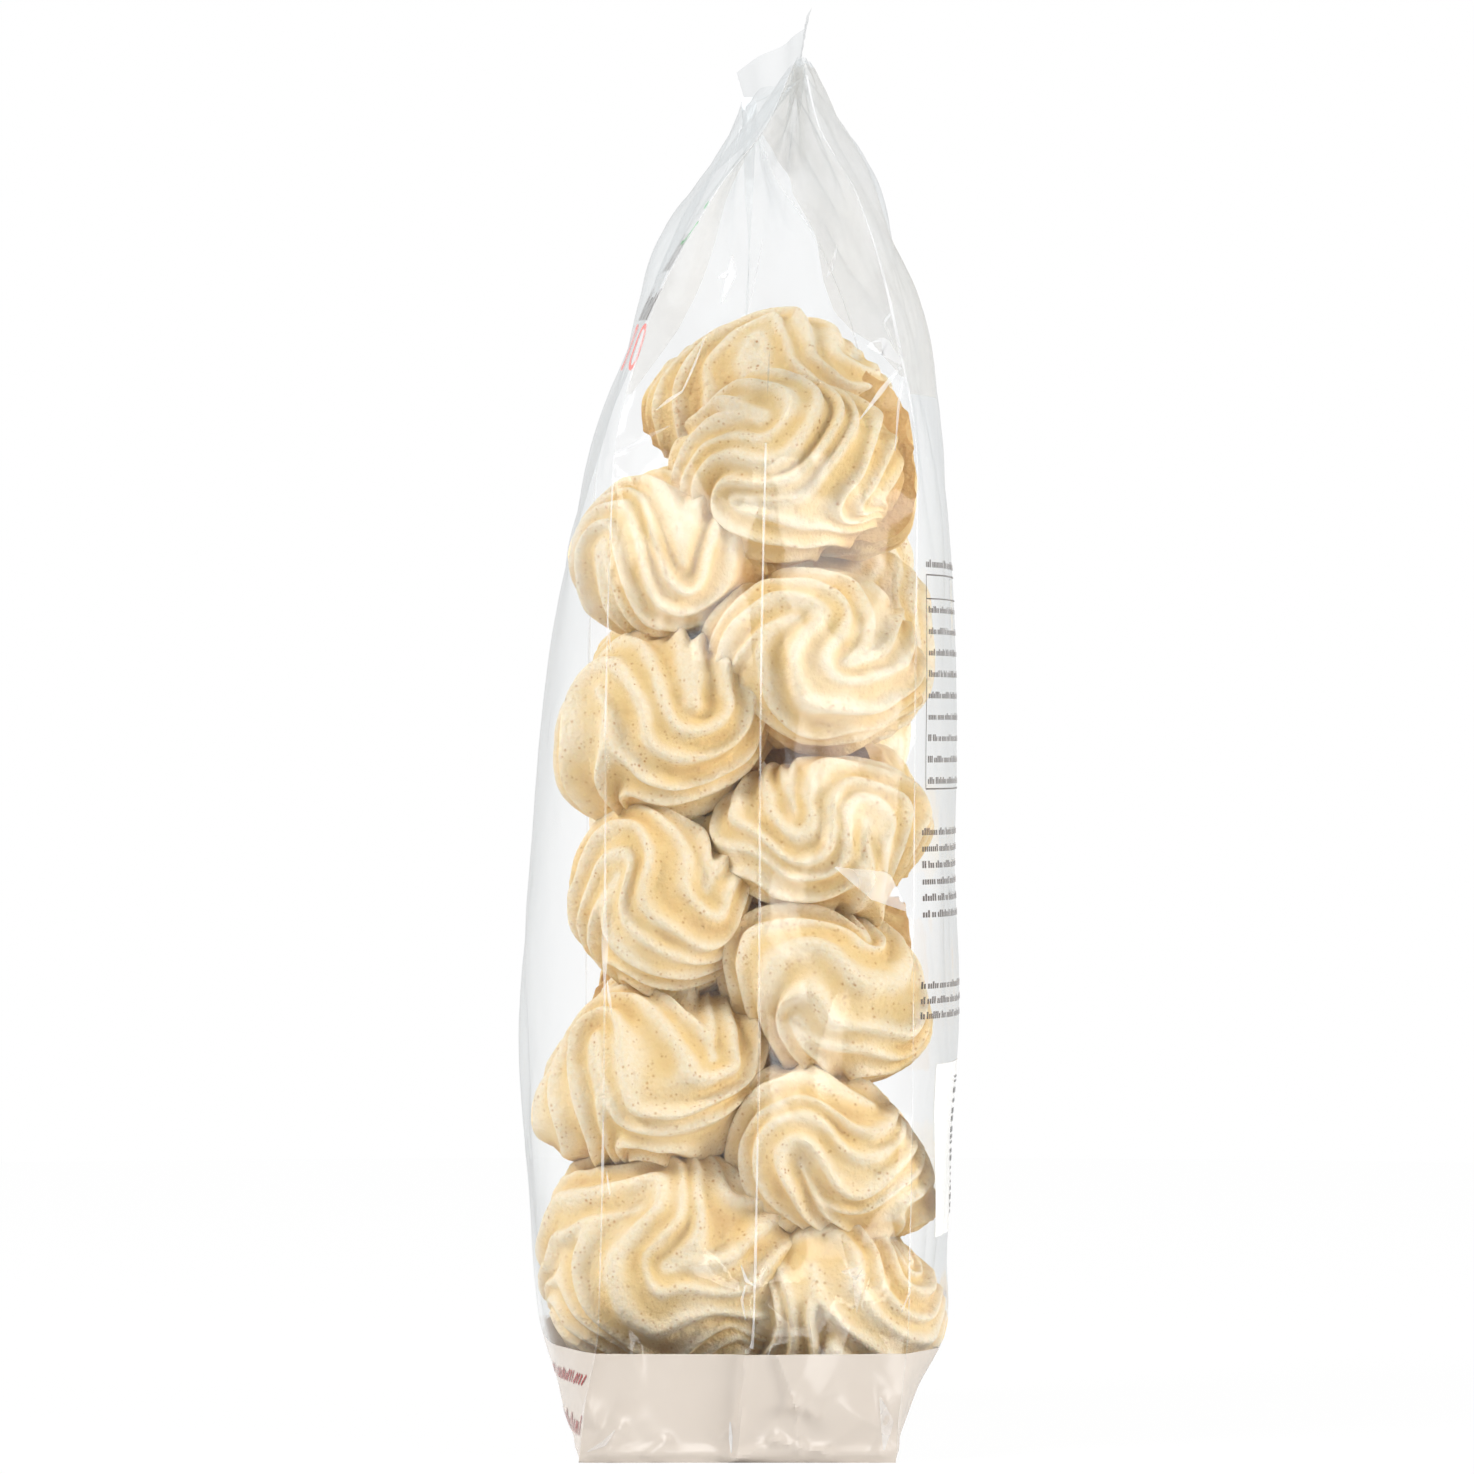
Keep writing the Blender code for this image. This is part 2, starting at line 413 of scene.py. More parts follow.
def ink_material(name, colour, cover):
    """Flat ink under glossy film, a little see-through."""
    material, tree, surface = new_material(name)
    position = node(tree, "ShaderNodeTexCoord").outputs["Object"]
    surface.inputs["Base Color"].default_value = (*colour, 1.0)
    surface.inputs["Roughness"].default_value = 0.25
    thin = remap(tree, noise(tree, position, 900.0), 0.3, 0.7, cover - 0.12, cover)
    tree.links.new(thin, surface.inputs["Alpha"])
    return material


def foot_material():
    """Opaque pale cream print behind glossy film."""
    material, tree, surface = new_material("printed_foot")
    surface.inputs["Base Color"].default_value = (0.605, 0.54, 0.475, 1.0)
    surface.inputs["Roughness"].default_value = 0.18
    return material


# ---------------------------------------------------------------------------------------------
# Piped meringue shells
# ---------------------------------------------------------------------------------------------

SQUARENESS = 1.68            # of a shell's outline; 2 is an ellipse
CREST_ROUNDING = 0.55        # 0 would give the piped ridges knife edges


def ripple(points, seed, wavelength, waves=7):
    """Smooth random field over points, roughly between -1 and 1."""
    draw = np.random.default_rng(seed)
    total = np.zeros(points.shape[:-1])
    for _ in range(waves):
        direction = draw.normal(size=points.shape[-1])
        direction /= np.linalg.norm(direction)
        pace = 2.0 * math.pi / (wavelength * draw.uniform(0.75, 1.4))
        total += np.sin(points @ direction * pace + draw.uniform(0.0, 2.0 * math.pi))
    return total / math.sqrt(waves)


def shell_points(seed, cells, size, outline, pitch, bands, depth, tips, offset, slot, mirror, spread):
    """Surface of one piped shell on a square grid folded over a flat base, in millimetres.

    The nozzle's ridges follow an S: up and over one pivot, across, and down under the other.
    """
    line = np.linspace(-1.0, 1.0, cells + 1)
    u, v = np.meshgrid(line, line, indexing="ij")
    a = u * np.sqrt(1.0 - v * v / 2.0)
    b = v * np.sqrt(1.0 - u * u / 2.0)
    angle = np.arctan2(b, a)
    steep = np.clip(np.hypot(a, b), 0.0, 1.0) * math.pi / 2.0

    # Rim of the flat base, with lobes and pulled tips.
    length, width, height = size[0] / 2.0, size[1] / 2.0, size[2]
    turned = angle - math.radians(outline)
    rim = (np.abs(np.cos(turned) / length) ** SQUARENESS
           + np.abs(np.sin(turned) / width) ** SQUARENESS) ** (-1.0 / SQUARENESS)
    circle = np.stack([np.cos(angle), np.sin(angle)], -1)
    rim = rim * (1.0 + 0.07 * ripple(circle, seed, 2.4))
    for tip_angle, reach, tip_spread in tips:
        turn = np.angle(np.exp(1j * (angle - math.radians(tip_angle))))
        rim = rim + reach * np.exp(-(np.abs(turn) / math.radians(tip_spread)) ** 1.3)

    plan = rim * np.sin(steep) ** 0.94
    rise = height * np.cos(steep) ** 0.85
    dome = np.stack([plan * np.cos(angle), plan * np.sin(angle), rise], -1)
    outward = np.stack([np.cos(angle) * np.sin(steep), np.sin(angle) * np.sin(steep),
                        np.cos(steep) * 1.1], -1)
    outward /= np.linalg.norm(outward, axis=-1)[..., None]

    # Flow coordinate: plan distance, carried on down the sides.
    unrolled = plan + 0.75 * height * (1.0 - np.cos(steep)) ** 2
    flow = np.stack([unrolled * np.cos(angle) - offset[0], unrolled * np.sin(angle) - offset[1]], -1)
    for reach, wavelength, shift in ((3.0, 36.0, 1), (0.45, 13.0, 31)):
        flow = flow + reach * np.stack([ripple(flow, seed + shift, wavelength),
                                        ripple(flow, seed + shift + 1, wavelength)], -1)
    x, y = flow[..., 0], flow[..., 1]
    pivot = pitch * bands / 2.0
    fan_low = 1.0 + spread * np.maximum(-y, 0.0)
    fan_high = 1.0 + spread * np.maximum(y, 0.0)
    around_left = np.where(y > 0.0, np.hypot(x + pivot, y), np.abs(x + pivot) / fan_low)
    around_right = np.where(y < 0.0, np.hypot(x - pivot, y), np.abs(x - pivot) / fan_high)
    divide = pivot * np.tanh(y / 5.0)
    to_right = 1.0 / (1.0 + np.exp(np.clip((divide - x) / 2.5, -30.0, 30.0)))
    lane = mix(around_left, 2.0 * pivot - around_right, to_right)
    lane = lane + 0.4 * ripple(flow, seed + 3, 24.0)
    lane = lane + 0.1 * pitch * np.sin(2.0 * math.pi * lane / (2.6 * pitch) + seed)

    phase = lane / pitch
    leaning = phase + 0.07 * np.sin(2.0 * math.pi * phase)
    ridge = np.sqrt(np.sin(math.pi * leaning) ** 2 + CREST_ROUNDING ** 2) - CREST_ROUNDING
    crest = 1.0 - ridge / (math.hypot(1.0, CREST_ROUNDING) - CREST_ROUNDING)
    strength = 0.95 + 0.2 * ripple(flow, seed + 4, 26.0) + 0.32 * np.sin(2.3 * phase + seed)
    side = steep / (math.pi / 2.0)
    nearest = np.minimum(around_left, around_right)
    hump = 2.4 * (1.0 - np.exp(-nearest / 5.0))
    end_left = np.exp(-(np.maximum(-y, 0.0) / 7.0) ** 2)
    end_right = np.exp(-(np.maximum(y, 0.0) / 7.0) ** 2)
    groove = (slot[0] * np.exp(-(around_left / 1.3) ** 2) * end_left
              + slot[1] * np.exp(-(around_right / 1.3) ** 2) * end_right)
    lift = (depth * strength * (crest - 0.4) * (1.0 - 0.5 * side ** 3)
            + hump * (1.0 - side ** 2) - groove * (1.0 - 0.6 * side ** 2)
            + 1.2 * ripple(dome, seed + 5, 27.0) * (1.0 - 0.5 * side)
            + 0.07 * ripple(dome, seed + 6, 5.0, 12))

    lift = softened(lift, 2)
    streaks = np.sin(2.0 * math.pi * lane / 2.4 + 2.0 * ripple(flow, seed + 7, 22.0))
    lift += 0.13 * streaks * np.clip(0.3 + ripple(flow, seed + 8, 20.0), 0.0, 1.0) * (1.0 - 0.5 * side)
    surface = dome + outward * lift[..., None]
    surface[..., 2] = np.maximum(surface[..., 2], 0.0)
    border = (np.abs(u) > 0.9999) | (np.abs(v) > 0.9999)
    surface[border, 2] = 0.0
    # Real browning, and also painted shade that darkens the grooves between ridges and the skirts beside the gaps
    # between shells
    toast_and_shade = 0.7 * (1.0 - crest) ** 1.6 * (1.0 - side ** 5) + 1.1 * side ** 5
    if mirror:
        return surface[::-1] * np.array((-1.0, 1.0, 1.0)), toast_and_shade[::-1]
    return surface, toast_and_shade


def softened(grid, rounds):
    """Grid of values with each averaged with its neighbours, a few times over."""
    for _ in range(rounds):
        for axis in (0, 1):
            padded = np.concatenate([grid.take([0], axis), grid, grid.take([-1], axis)], axis)
            count = padded.shape[axis]
            before = padded.take(range(count - 2), axis)
            after = padded.take(range(2, count), axis)
            grid = 0.5 * grid + 0.25 * (before + after)
    return grid


def grid_faces(rows, columns):
    """Quads of a rows by columns grid of vertices."""
    index = np.arange(rows * columns).reshape(rows, columns)
    return np.stack([index[:-1, :-1], index[1:, :-1], index[1:, 1:], index[:-1, 1:]], -1).reshape(-1, 4)


def mesh_object(name, points, faces):
    """A smooth-shaded mesh object from points in millimetres."""
    mesh = bpy.data.meshes.new(name)
    mesh.from_pydata((points.reshape(-1, 3) * MM).tolist(), [], faces)
    mesh.update()
    mesh.shade_smooth()
    made = bpy.data.objects.new(name, mesh)
    bpy.context.scene.collection.objects.link(made)
    return made


def piped_shell(name, seed, cells=80, size=(53.0, 45.0, 30.0), outline=0.0, pitch=7.6, bands=3,
                depth=4.3, tips=(), offset=(0.0, 0.0), slot=(3.5, 2.5), mirror=False, spread=0.03):
    """One meringue shell as an object, flat base on Z = 0 and dome up."""
    points, toast_and_shade = shell_points(seed, cells, size, outline, pitch, bands, depth, tips, offset, slot,
                                 mirror, spread)
    count = cells + 1
    faces = grid_faces(count, count).tolist()
    index = np.arange(count * count).reshape(count, count)
    loop = np.concatenate([index[:, 0], index[-1, 1:], index[-2::-1, -1], index[0, -2:0:-1]])
    faces.append(loop[::-1].tolist())
    made = mesh_object(name, points, faces)
    made.data.set_sharp_from_angle(angle=math.radians(70.0))
    # The attribute carries the browning together with the painted shade of grooves and skirts
    made.data.attributes.new("toast_and_shade", "FLOAT", "POINT").data.foreach_set("value", toast_and_shade.ravel())
    return made


def facing(turn, tilt, roll):
    """Rotation that points a shell's dome at -Y, then rolls, tilts up and turns it (degrees)."""
    return (Matrix.Rotation(math.radians(turn), 4, "Z")
            @ Matrix.Rotation(math.radians(-tilt), 4, "X")
            @ Matrix.Rotation(math.radians(90.0), 4, "X")
            @ Matrix.Rotation(math.radians(roll), 4, "Z"))


# Shells that lie against the near gusset: place of the dome's heart (x, y, z), the way the dome
# faces (turn to the right, tilt up, roll, in degrees) and how each was piped.
NEAR_SHELLS = {
    "a": ((8.0, -20.0, 249.0), (0, 35, 0), dict(seed=22, size=(57, 45, 27), pitch=6.4, bands=4, depth=2.8,
                                               offset=(11, 6), slot=(2.0, 3.0), spread=0.05)),
    "b": ((12.5, -48.0, 232.0), (0, 14, 84), dict(seed=11, size=(58, 42, 28), outline=-88, pitch=6.6, bands=4,
                                                depth=3.6, offset=(-4, 11), slot=(2.0, 3.0))),
    "c": ((-18.0, -40.0, 210.0), (-24, 12, 5), dict(seed=12, size=(48, 43, 28), pitch=6.2, bands=4, depth=3.5,
                                                  offset=(2, -4), slot=(2.0, 2.0))),
    "d": ((17.5, -50.0, 186.5), (5, 14, -35), dict(seed=13, size=(52, 41, 27), outline=20, pitch=6.6, bands=3,
                                                 depth=3.6, slot=(2.0, 2.0))),
    "e": ((-20.5, -46.0, 171.0), (-16, 14, 8), dict(seed=14, size=(57, 42, 29), outline=24, pitch=7.6,
                                                  depth=4.2, offset=(1, 3), slot=(2.0, 2.0),
                                                  tips=((22, 4, 14),))),
    "f": ((19.0, -50.0, 145.0), (8, 16, -14), dict(seed=15, size=(54, 38, 26), outline=-16, pitch=5.6, bands=4,
                                                 depth=3.1, tips=((222, 8, 12),), mirror=True,
                                                 slot=(1.5, 2.0))),
    "g": ((-18.5, -46.0, 132.0), (-14, 10, -12), dict(seed=16, size=(51, 44, 28), outline=100, pitch=5.6,
                                                    bands=4, depth=3.2, offset=(3, 0), slot=(2.0, 2.0))),
    "h": ((21.5, -50.0, 109.0), (6, 12, 35), dict(seed=17, size=(54, 41, 27), outline=-62, pitch=6.2, bands=4,
                                                depth=3.4, slot=(2.0, 2.0))),
    "i": ((-23.5, -46.0, 88.0), (-14, 12, 0), dict(seed=18, size=(58, 45, 30), outline=24, pitch=6.8, bands=3,
                                                 depth=4.0, offset=(3, 2), slot=(4.0, 2.0))),
    "j": ((21.5, -50.0, 72.0), (6, 14, 55), dict(seed=19, size=(55, 40, 26), outline=-88, pitch=6.4, bands=4,
                                               depth=3.4, slot=(1.5, 2.0))),
    "k": ((-20.5, -46.0, 45.5), (-14, 8, -50), dict(seed=20, size=(62, 60, 30), pitch=6.8, bands=3, depth=3.8,
                                                   offset=(-3, 2), slot=(2.0, 5.0), spread=0.05)),
    "l": ((25.0, -48.0, 34.0), (8, 5, 4), dict(seed=21, size=(48, 48, 26), bands=5, pitch=5.6, depth=3.2,
                                              offset=(8, 12), slot=(1.0, 1.0), spread=0.02)),
}
HEART = 12.0                 # height of the dome's heart over its flat base
PRESSING = 2.5               # how far the near shells may press the film outwards
NEAR_CELLS = 126             # mesh cells across a shell next to the near gusset
POURED_CELLS = 64


def shell_vertices(made):
    """Vertices of an object as an array in millimetres."""
    points = np.empty(len(made.data.vertices) * 3, np.float32)
    made.data.vertices.foreach_get("co", points)
    return points.reshape(-1, 3).astype(float) / MM


def set_vertices(made, points):
    """Move an object's vertices to the points of an array in millimetres."""
    made.data.vertices.foreach_set("co", (points * MM).astype(np.float32).ravel())
    made.data.update()


def settle_inside(points, clearance):
    """Slide a shell's points until none stands out of the bag's walls further than clearance."""
    slide = np.zeros(3)
    for _ in range(80):
        depth = poke_out(points)
        worst = points[depth.argmax()]
        if depth.max() < clearance:
            break
        around = worst + 0.2 * np.vstack([np.eye(3), np.zeros(3)])
        push = poke_out(around)
        push = push[:3] - push[3]
        step = -0.4 * push / max(np.linalg.norm(push), 1e-6)
        points += step
        slide += step
    return slide


def lay_near_shells(material):
    """Place the shells that show through the near gusset, just inside the film."""
    placed = []
    for key, (place, turns, piping) in NEAR_SHELLS.items():
        made = piped_shell("shell_" + key, cells=NEAR_CELLS, **piping)
        made.data.materials.append(material)
        rotation = facing(*turns)
        points = shell_vertices(made)
        points[:, 2] -= HEART
        points = points @ np.array(rotation.to_3x3()).T + np.array(place)
        settle_inside(points, PRESSING)
        set_vertices(made, points)
        placed.append(made)
    return placed


# ---------------------------------------------------------------------------------------------
# The heap behind them: shells poured into the bag
# ---------------------------------------------------------------------------------------------

POURED = 34
HIGHEST_BACK = 258.0         # shells that come to rest higher than this are left out,
HIGHEST_FRONT = 240.0        # and higher than this in the front half
FRONT_ROOM = -36.0           # the heap leaves a clear gap along the front panel
BACK_ROOM = 43.0             # and a narrow one along the back panel
MOST_PUSHED = 9.0            # so are those that the walls would push further than this
GROWN = 10.0                 # the pour runs at ten times life size, where the solver is steady
POUR_FRAMES = 150
CHUTE_FOOT = 205.0           # above this the pour's walls go straight up
CHUTE_TOP = 1050.0


def join_body(made, kind, shape, friction=0.15):
    """Give an object a rigid body of that kind and collision shape."""
    bpy.context.view_layer.objects.active = made
    bpy.ops.rigidbody.object_add(type=kind)
    body = made.rigid_body
    body.collision_shape = shape
    body.friction = friction
    body.restitution = 0.0
    body.use_margin = True
    body.collision_margin = 0.004
    body.linear_damping = 0.1
    body.angular_damping = 0.3
    return body


def proxy(name, points, faces):
    """A grown stand-in mesh that only the pour uses."""
    return mesh_object(name, points * GROWN, faces)


def poured_piping(index):
    """How the poured shell with this index was piped."""
    draw = np.random.default_rng(500 + index)
    return dict(seed=100 + 7 * index, size=(draw.uniform(50, 55), draw.uniform(41, 45), draw.uniform(27, 30)),
                outline=draw.uniform(-90, 90), pitch=draw.uniform(5.6, 7.2), bands=4, depth=3.4,
                tips=(), offset=tuple(draw.uniform(-3, 3, 2)), slot=tuple(draw.uniform(1.0, 5.0, 2)),
                mirror=bool(draw.integers(0, 2)), spread=0.03)


def pour_places(near_shells):
    """Let the shells fall into the bag behind the near ones; returns a matrix for each."""
    scene = bpy.context.scene
    bpy.ops.rigidbody.world_add()
    world = scene.rigidbody_world
    world.substeps_per_frame = 12
    world.solver_iterations = 30
    world.point_cache.frame_end = POUR_FRAMES
    scene.gravity = (0.0, 0.0, -9.81)
    helpers = []

    heights = np.concatenate([np.linspace(0.0, CHUTE_FOOT, 24), [CHUTE_TOP]])
    across = np.linspace(-1.0, 1.0, 9)
    for panel in PANELS:
        wall = bag_wall(panel, across[:, None], np.minimum(heights, CHUTE_FOOT)[None, :])
        wall[..., 0] = np.clip(wall[..., 0], FRONT_ROOM, BACK_ROOM)
        wall[..., 2] = heights
        helpers.append(proxy("wall_" + panel, wall, grid_faces(len(across), len(heights)).tolist()))
        join_body(helpers[-1], "PASSIVE", "MESH")
    floor = np.array([(x, y, 0.0) for x in (-90.0, 90.0) for y in (-90.0, 90.0)])
    helpers.append(proxy("pour_floor", floor, [(0, 2, 3, 1)]))
    join_body(helpers[-1], "PASSIVE", "MESH")
    for shell in near_shells[1:]:
        points = shell_vertices(shell)
        helpers.append(proxy("still_" + shell.name, points[::9], []))
        join_body(helpers[-1], "PASSIVE", "CONVEX_HULL")

    falling = []
    draw = np.random.default_rng(77)
    for index in range(POURED):
        cells = 14
        piping = poured_piping(index)
        points, _ = shell_points(cells=cells, **piping)
        points[..., 2] -= HEART
        made = proxy("falling_%02d" % index, points, [])
        side = -1.0 if index % 2 else 1.0
        start = (9.0 + draw.uniform(-6, 6), 14.0 + side * 29.0 + draw.uniform(-4, 4), 285.0 + 27.0 * index)
        made.location = Vector(start) * MM * GROWN
        made.rotation_euler = draw.uniform(-math.pi, math.pi, 3)
        body = join_body(made, "ACTIVE", "CONVEX_HULL")
        body.mass = 1.0
        falling.append(made)

    for step in range(1, POUR_FRAMES + 1):
        scene.frame_set(step)
    depsgraph = bpy.context.evaluated_depsgraph_get()
    places = []
    for made in falling:
        matrix = made.evaluated_get(depsgraph).matrix_world.copy()
        matrix.translation /= GROWN
        places.append(matrix)
    scene.frame_set(1)
    bpy.ops.rigidbody.world_remove()
    for made in helpers + falling:
        bpy.data.objects.remove(made, do_unlink=True)
    return places


def dome_outwards(matrix):
    """Turn a shell over where its flat base would face out through the film."""
    x, y, _ = matrix.translation / MM
    if abs(x) / 50.0 > abs(y) / 72.0:
        outward = Vector((math.copysign(1.0, x), 0.0, 0.0))
    else:
        outward = Vector((0.0, math.copysign(1.0, y), 0.0))
    if (matrix.to_3x3() @ Vector((0.0, 0.0, -1.0))).dot(outward) > 0.3:
        return matrix @ Matrix.Rotation(math.pi, 4, "X")
    return matrix


def lay_poured_shells(material, places):
    """Make the poured shells where they came to rest, apart from those too high for the bag."""
    placed = []
    for index, matrix in enumerate(places):
        matrix = dome_outwards(matrix)
        made = piped_shell("poured_%02d" % index, cells=POURED_CELLS, **poured_piping(index))
        made.data.transform(matrix @ Matrix.Translation((0.0, 0.0, -HEART * MM)))
        points = shell_vertices(made)
        moved = settle_inside(points, 0.5)
        highest = HIGHEST_BACK if points[:, 0].mean() > 3.0 else HIGHEST_FRONT
        if points[:, 2].max() > highest or np.linalg.norm(moved) > MOST_PUSHED:
            bpy.data.objects.remove(made, do_unlink=True)
            continue
        made.data.materials.append(material)
        set_vertices(made, points)
        placed.append(made)
    return placed


# ---------------------------------------------------------------------------------------------
# Film: four panels, base and seal
# ---------------------------------------------------------------------------------------------

BAND_HEIGHT = 25.0           # printed foot band, measured up the film
BAND_ROWS = 34
FILM_ROWS = 210
FILM_COLUMNS = {"near": 96, "back": 76, "far": 40, "front": 76}
LOOKING_DEPTH = 7.0          # how far on each side of the film shells are looked for
FILM_GAP = 0.15              # between the film and a shell that it touches
BRIDGED = 5                  # grid steps by which the film bridges hollows
SMOOTHED = 24

# Points where the film is pinched: place, the way the film faces there, reach of the folds and
# the folds themselves as (direction in degrees, slope) around the point.
PINCHES = (
    ((38.5, -72.0, 250.0), (0.3, -1.0, 0.0), 15.0,
     ((20, 0.10), (70, -0.10), (110, 0.22), (140, -0.16), (165, 0.12), (205, -0.10), (238, 0.24),
      (268, -0.16), (310, 0.08))),
    ((-29.5, -72.3, 231.0), (-0.2, -1.0, 0.0), 12.0,
     ((10, 0.16), (35, -0.14), (80, 0.12), (150, -0.05), (230, 0.06), (290, -0.12), (330, 0.10))),
    ((-12.5, -66.0, 245.0), (0.0, -1.0, 0.3), 8.0,
     ((60, 0.06), (95, -0.10), (135, 0.12), (190, -0.08), (225, 0.12), (260, -0.08), (320, 0.03))),
    ((2.0, -74.5, 40.0), (0.0, -1.0, 0.0), 9.0,
     ((15, 0.16), (50, -0.20), (85, 0.22), (130, -0.18), (170, 0.12), (215, -0.20), (262, 0.24),
      (300, -0.14), (340, 0.10))),
    ((28.0, -72.5, 36.0), (0.2, -1.0, 0.0), 9.0,
     ((30, -0.10), (75, 0.16), (110, -0.14), (170, 0.12), (235, -0.12), (290, 0.10))),
    ((40.3, -72.0, 48.0), (0.4, -1.0, 0.0), 7.0,
     ((60, 0.12), (105, -0.16), (150, 0.10), (240, 0.14), (265, -0.12), (320, 0.10))),
    ((-31.0, -72.0, 7.0), (-0.2, -1.0, 0.0), 8.0,
     ((15, -0.10), (60, 0.16), (110, -0.16), (160, 0.10), (250, 0.10), (300, -0.12))),
    ((33.0, -72.0, 8.0), (0.2, -1.0, 0.0), 10.0,
     ((30, 0.10), (80, -0.12), (120, 0.18), (170, -0.12), (230, 0.10), (300, -0.10))),
)


# Sharp folds of the near gusset: where each starts and ends (x, height), how high it stands and
# how far it fades to its left and to its right.
CREASES = (
    ((1.6, 26.0), (-0.6, -1.0), 1.9, 0.9, 6.0),
    ((9.0, 24.5), (13.0, 13.5), 1.6, 1.0, 4.0),
    ((13.0, 13.5), (17.0, 11.5), 1.3, 1.0, 3.0),
    ((13.5, 13.0), (14.5, 3.0), 0.9, 3.0, 1.0),
    ((20.0, 3.0), (36.0, 15.0), 0.5, 5.0, 2.0),
    ((33.0, 2.0), (34.5, 14.0), 0.6, 2.0, 2.5),
    ((-36.0, 22.0), (-24.0, 25.0), 0.9, 3.0, 4.0),
    ((-35.0, 1.0), (-27.0, 8.0), 0.9, 1.6, 3.0),
    ((-31.0, 0.5), (-28.5, 5.0), 0.7, 1.5, 1.5),
    ((-20.0, 2.0), (-16.5, 5.0), 0.7, 1.6, 2.0),
    ((-4.0, 6.0), (0.0, 10.0), 0.8, 1.4, 1.8),
    ((-1.0, 1.0), (9.0, 5.0), 1.0, 1.6, 1.6),
    ((9.0, 5.0), (20.0, 2.5), 1.1, 1.2, 1.5),
)


def creased(x, height):
    """Relief of the sharp folds at points of the near gusset."""
    relief = np.zeros(x.shape)
    for start, end, rise, left, right in CREASES:
        along = np.array(end) - start
        length = np.linalg.norm(along)
        along = along / length
        if along[1] < 0.0:
            start, along = end, -along
        travel = (x - start[0]) * along[0] + (height - start[1]) * along[1]
        aside = (x - start[0]) * along[1] - (height - start[1]) * along[0]
        beyond = np.maximum(np.maximum(-travel, travel - length), 0.0)
        fade = np.where(aside < 0.0, left, right)
        relief += rise * np.exp(-np.abs(aside) / fade - (beyond / 1.5) ** 2)
    return relief


def pinched(points):
    """Shift points of the film into star-shaped folds around each pinch."""
    moved = points.copy()
    for place, facing_out, reach, folds in PINCHES:
        outward = np.array(facing_out) / np.linalg.norm(facing_out)
        right = np.cross((0.0, 0.0, 1.0), outward)
        right /= -np.linalg.norm(right)
        up = np.cross(outward, right)
        up *= np.sign(up[2])
        offset = points - np.array(place)
        x, y = offset @ right, offset @ up
        angle = np.degrees(np.arctan2(y, x)) % 360.0
        turns = [fold[0] - 360.0 for fold in folds] + [fold[0] for fold in folds] + [fold[0] + 360.0 for fold in folds]
        slopes = [fold[1] for fold in folds] * 3
        distance = np.linalg.norm(offset, axis=-1)
        lift = distance * np.interp(angle, turns, slopes) * np.exp(-(distance / reach) ** 2)
        moved += outward * (lift - 0.03 * reach * np.exp(-distance / (0.4 * reach)))[..., None]
    return moved


def folds_field(points, seed, wavelength):
    """Field with soft hills between sharp, wandering creases, 0 on the creases."""
    return np.abs(ripple(points, seed, wavelength, 5))


def film_relief(panel, points, across):
    """Outward relief of the film: broad billows, wandering creases and the factory folds."""
    seed = 40 + 10 * PANELS.index(panel)
    height = points[..., 2]
    loose = ease(200.0, 290.0, height)
    billow = (0.5 + 0.9 * loose) * ripple(points, seed, 55.0)
    creases = (0.25 + 0.8 * loose) * folds_field(points * np.array((1.0, 1.0, 0.6)), seed + 1, 34.0)
    fine = (0.05 + 0.14 * loose) * folds_field(points, seed + 2, 11.0)
    relief = billow + creases + fine
    if panel in ("near", "far"):
        _, _, near, far, half_gap = outline_at(height)
        sideways = np.abs(across) * half_gap
        relief = relief + 0.7 * np.exp(-sideways / 2.5) * (1.0 - loose)
    relief = relief * ease(0.0, 12.0, height)
    relief = relief + 0.6 * np.exp(-((height - 2.2) / 1.4) ** 2)
    if panel == "near":
        relief = relief + creased(points[..., 0], height)
    return relief * (1.0 - np.abs(across) ** 10) * ease(0.0, 1.5, height)


def ring_normals(ring):
    """Outward unit normals of a ring of columns that closes on itself."""
    along = np.roll(ring, -1, 0) - np.roll(ring, 1, 0)
    normals = np.cross(along, np.gradient(ring, axis=1))
    return normals / np.maximum(np.linalg.norm(normals, axis=-1), 1e-9)[..., None]


def shell_heights(ring, normals, trees):
    """How far the shells stand out of each film point along its normal (minus is inside)."""
    heights = np.full(ring.shape[:2], -LOOKING_DEPTH)
    starts = ring + normals * LOOKING_DEPTH
    for column, row in np.ndindex(heights.shape):
        start = Vector(starts[column, row] * MM)
        way = Vector(-normals[column, row])
        for tree in trees:
            distance = tree.ray_cast(start, way, 2.0 * LOOKING_DEPTH * MM)[3]
            if distance is not None:
                heights[column, row] = max(heights[column, row], LOOKING_DEPTH - distance / MM)
    return heights


def stretched(push):
    """Widen and smooth a ring's pushed-out spots, as film bridges the hollows of what it wraps."""
    for spread in [True] * BRIDGED + [False] * SMOOTHED:
        padded = np.concatenate([push[:, :1], push, push[:, -1:]], 1)
        beside = (np.roll(push, 1, 0), np.roll(push, -1, 0), padded[:, 2:], padded[:, :-2])
        push = np.maximum.reduce([push, *beside]) if spread else 0.2 * (push + sum(beside))
    return push


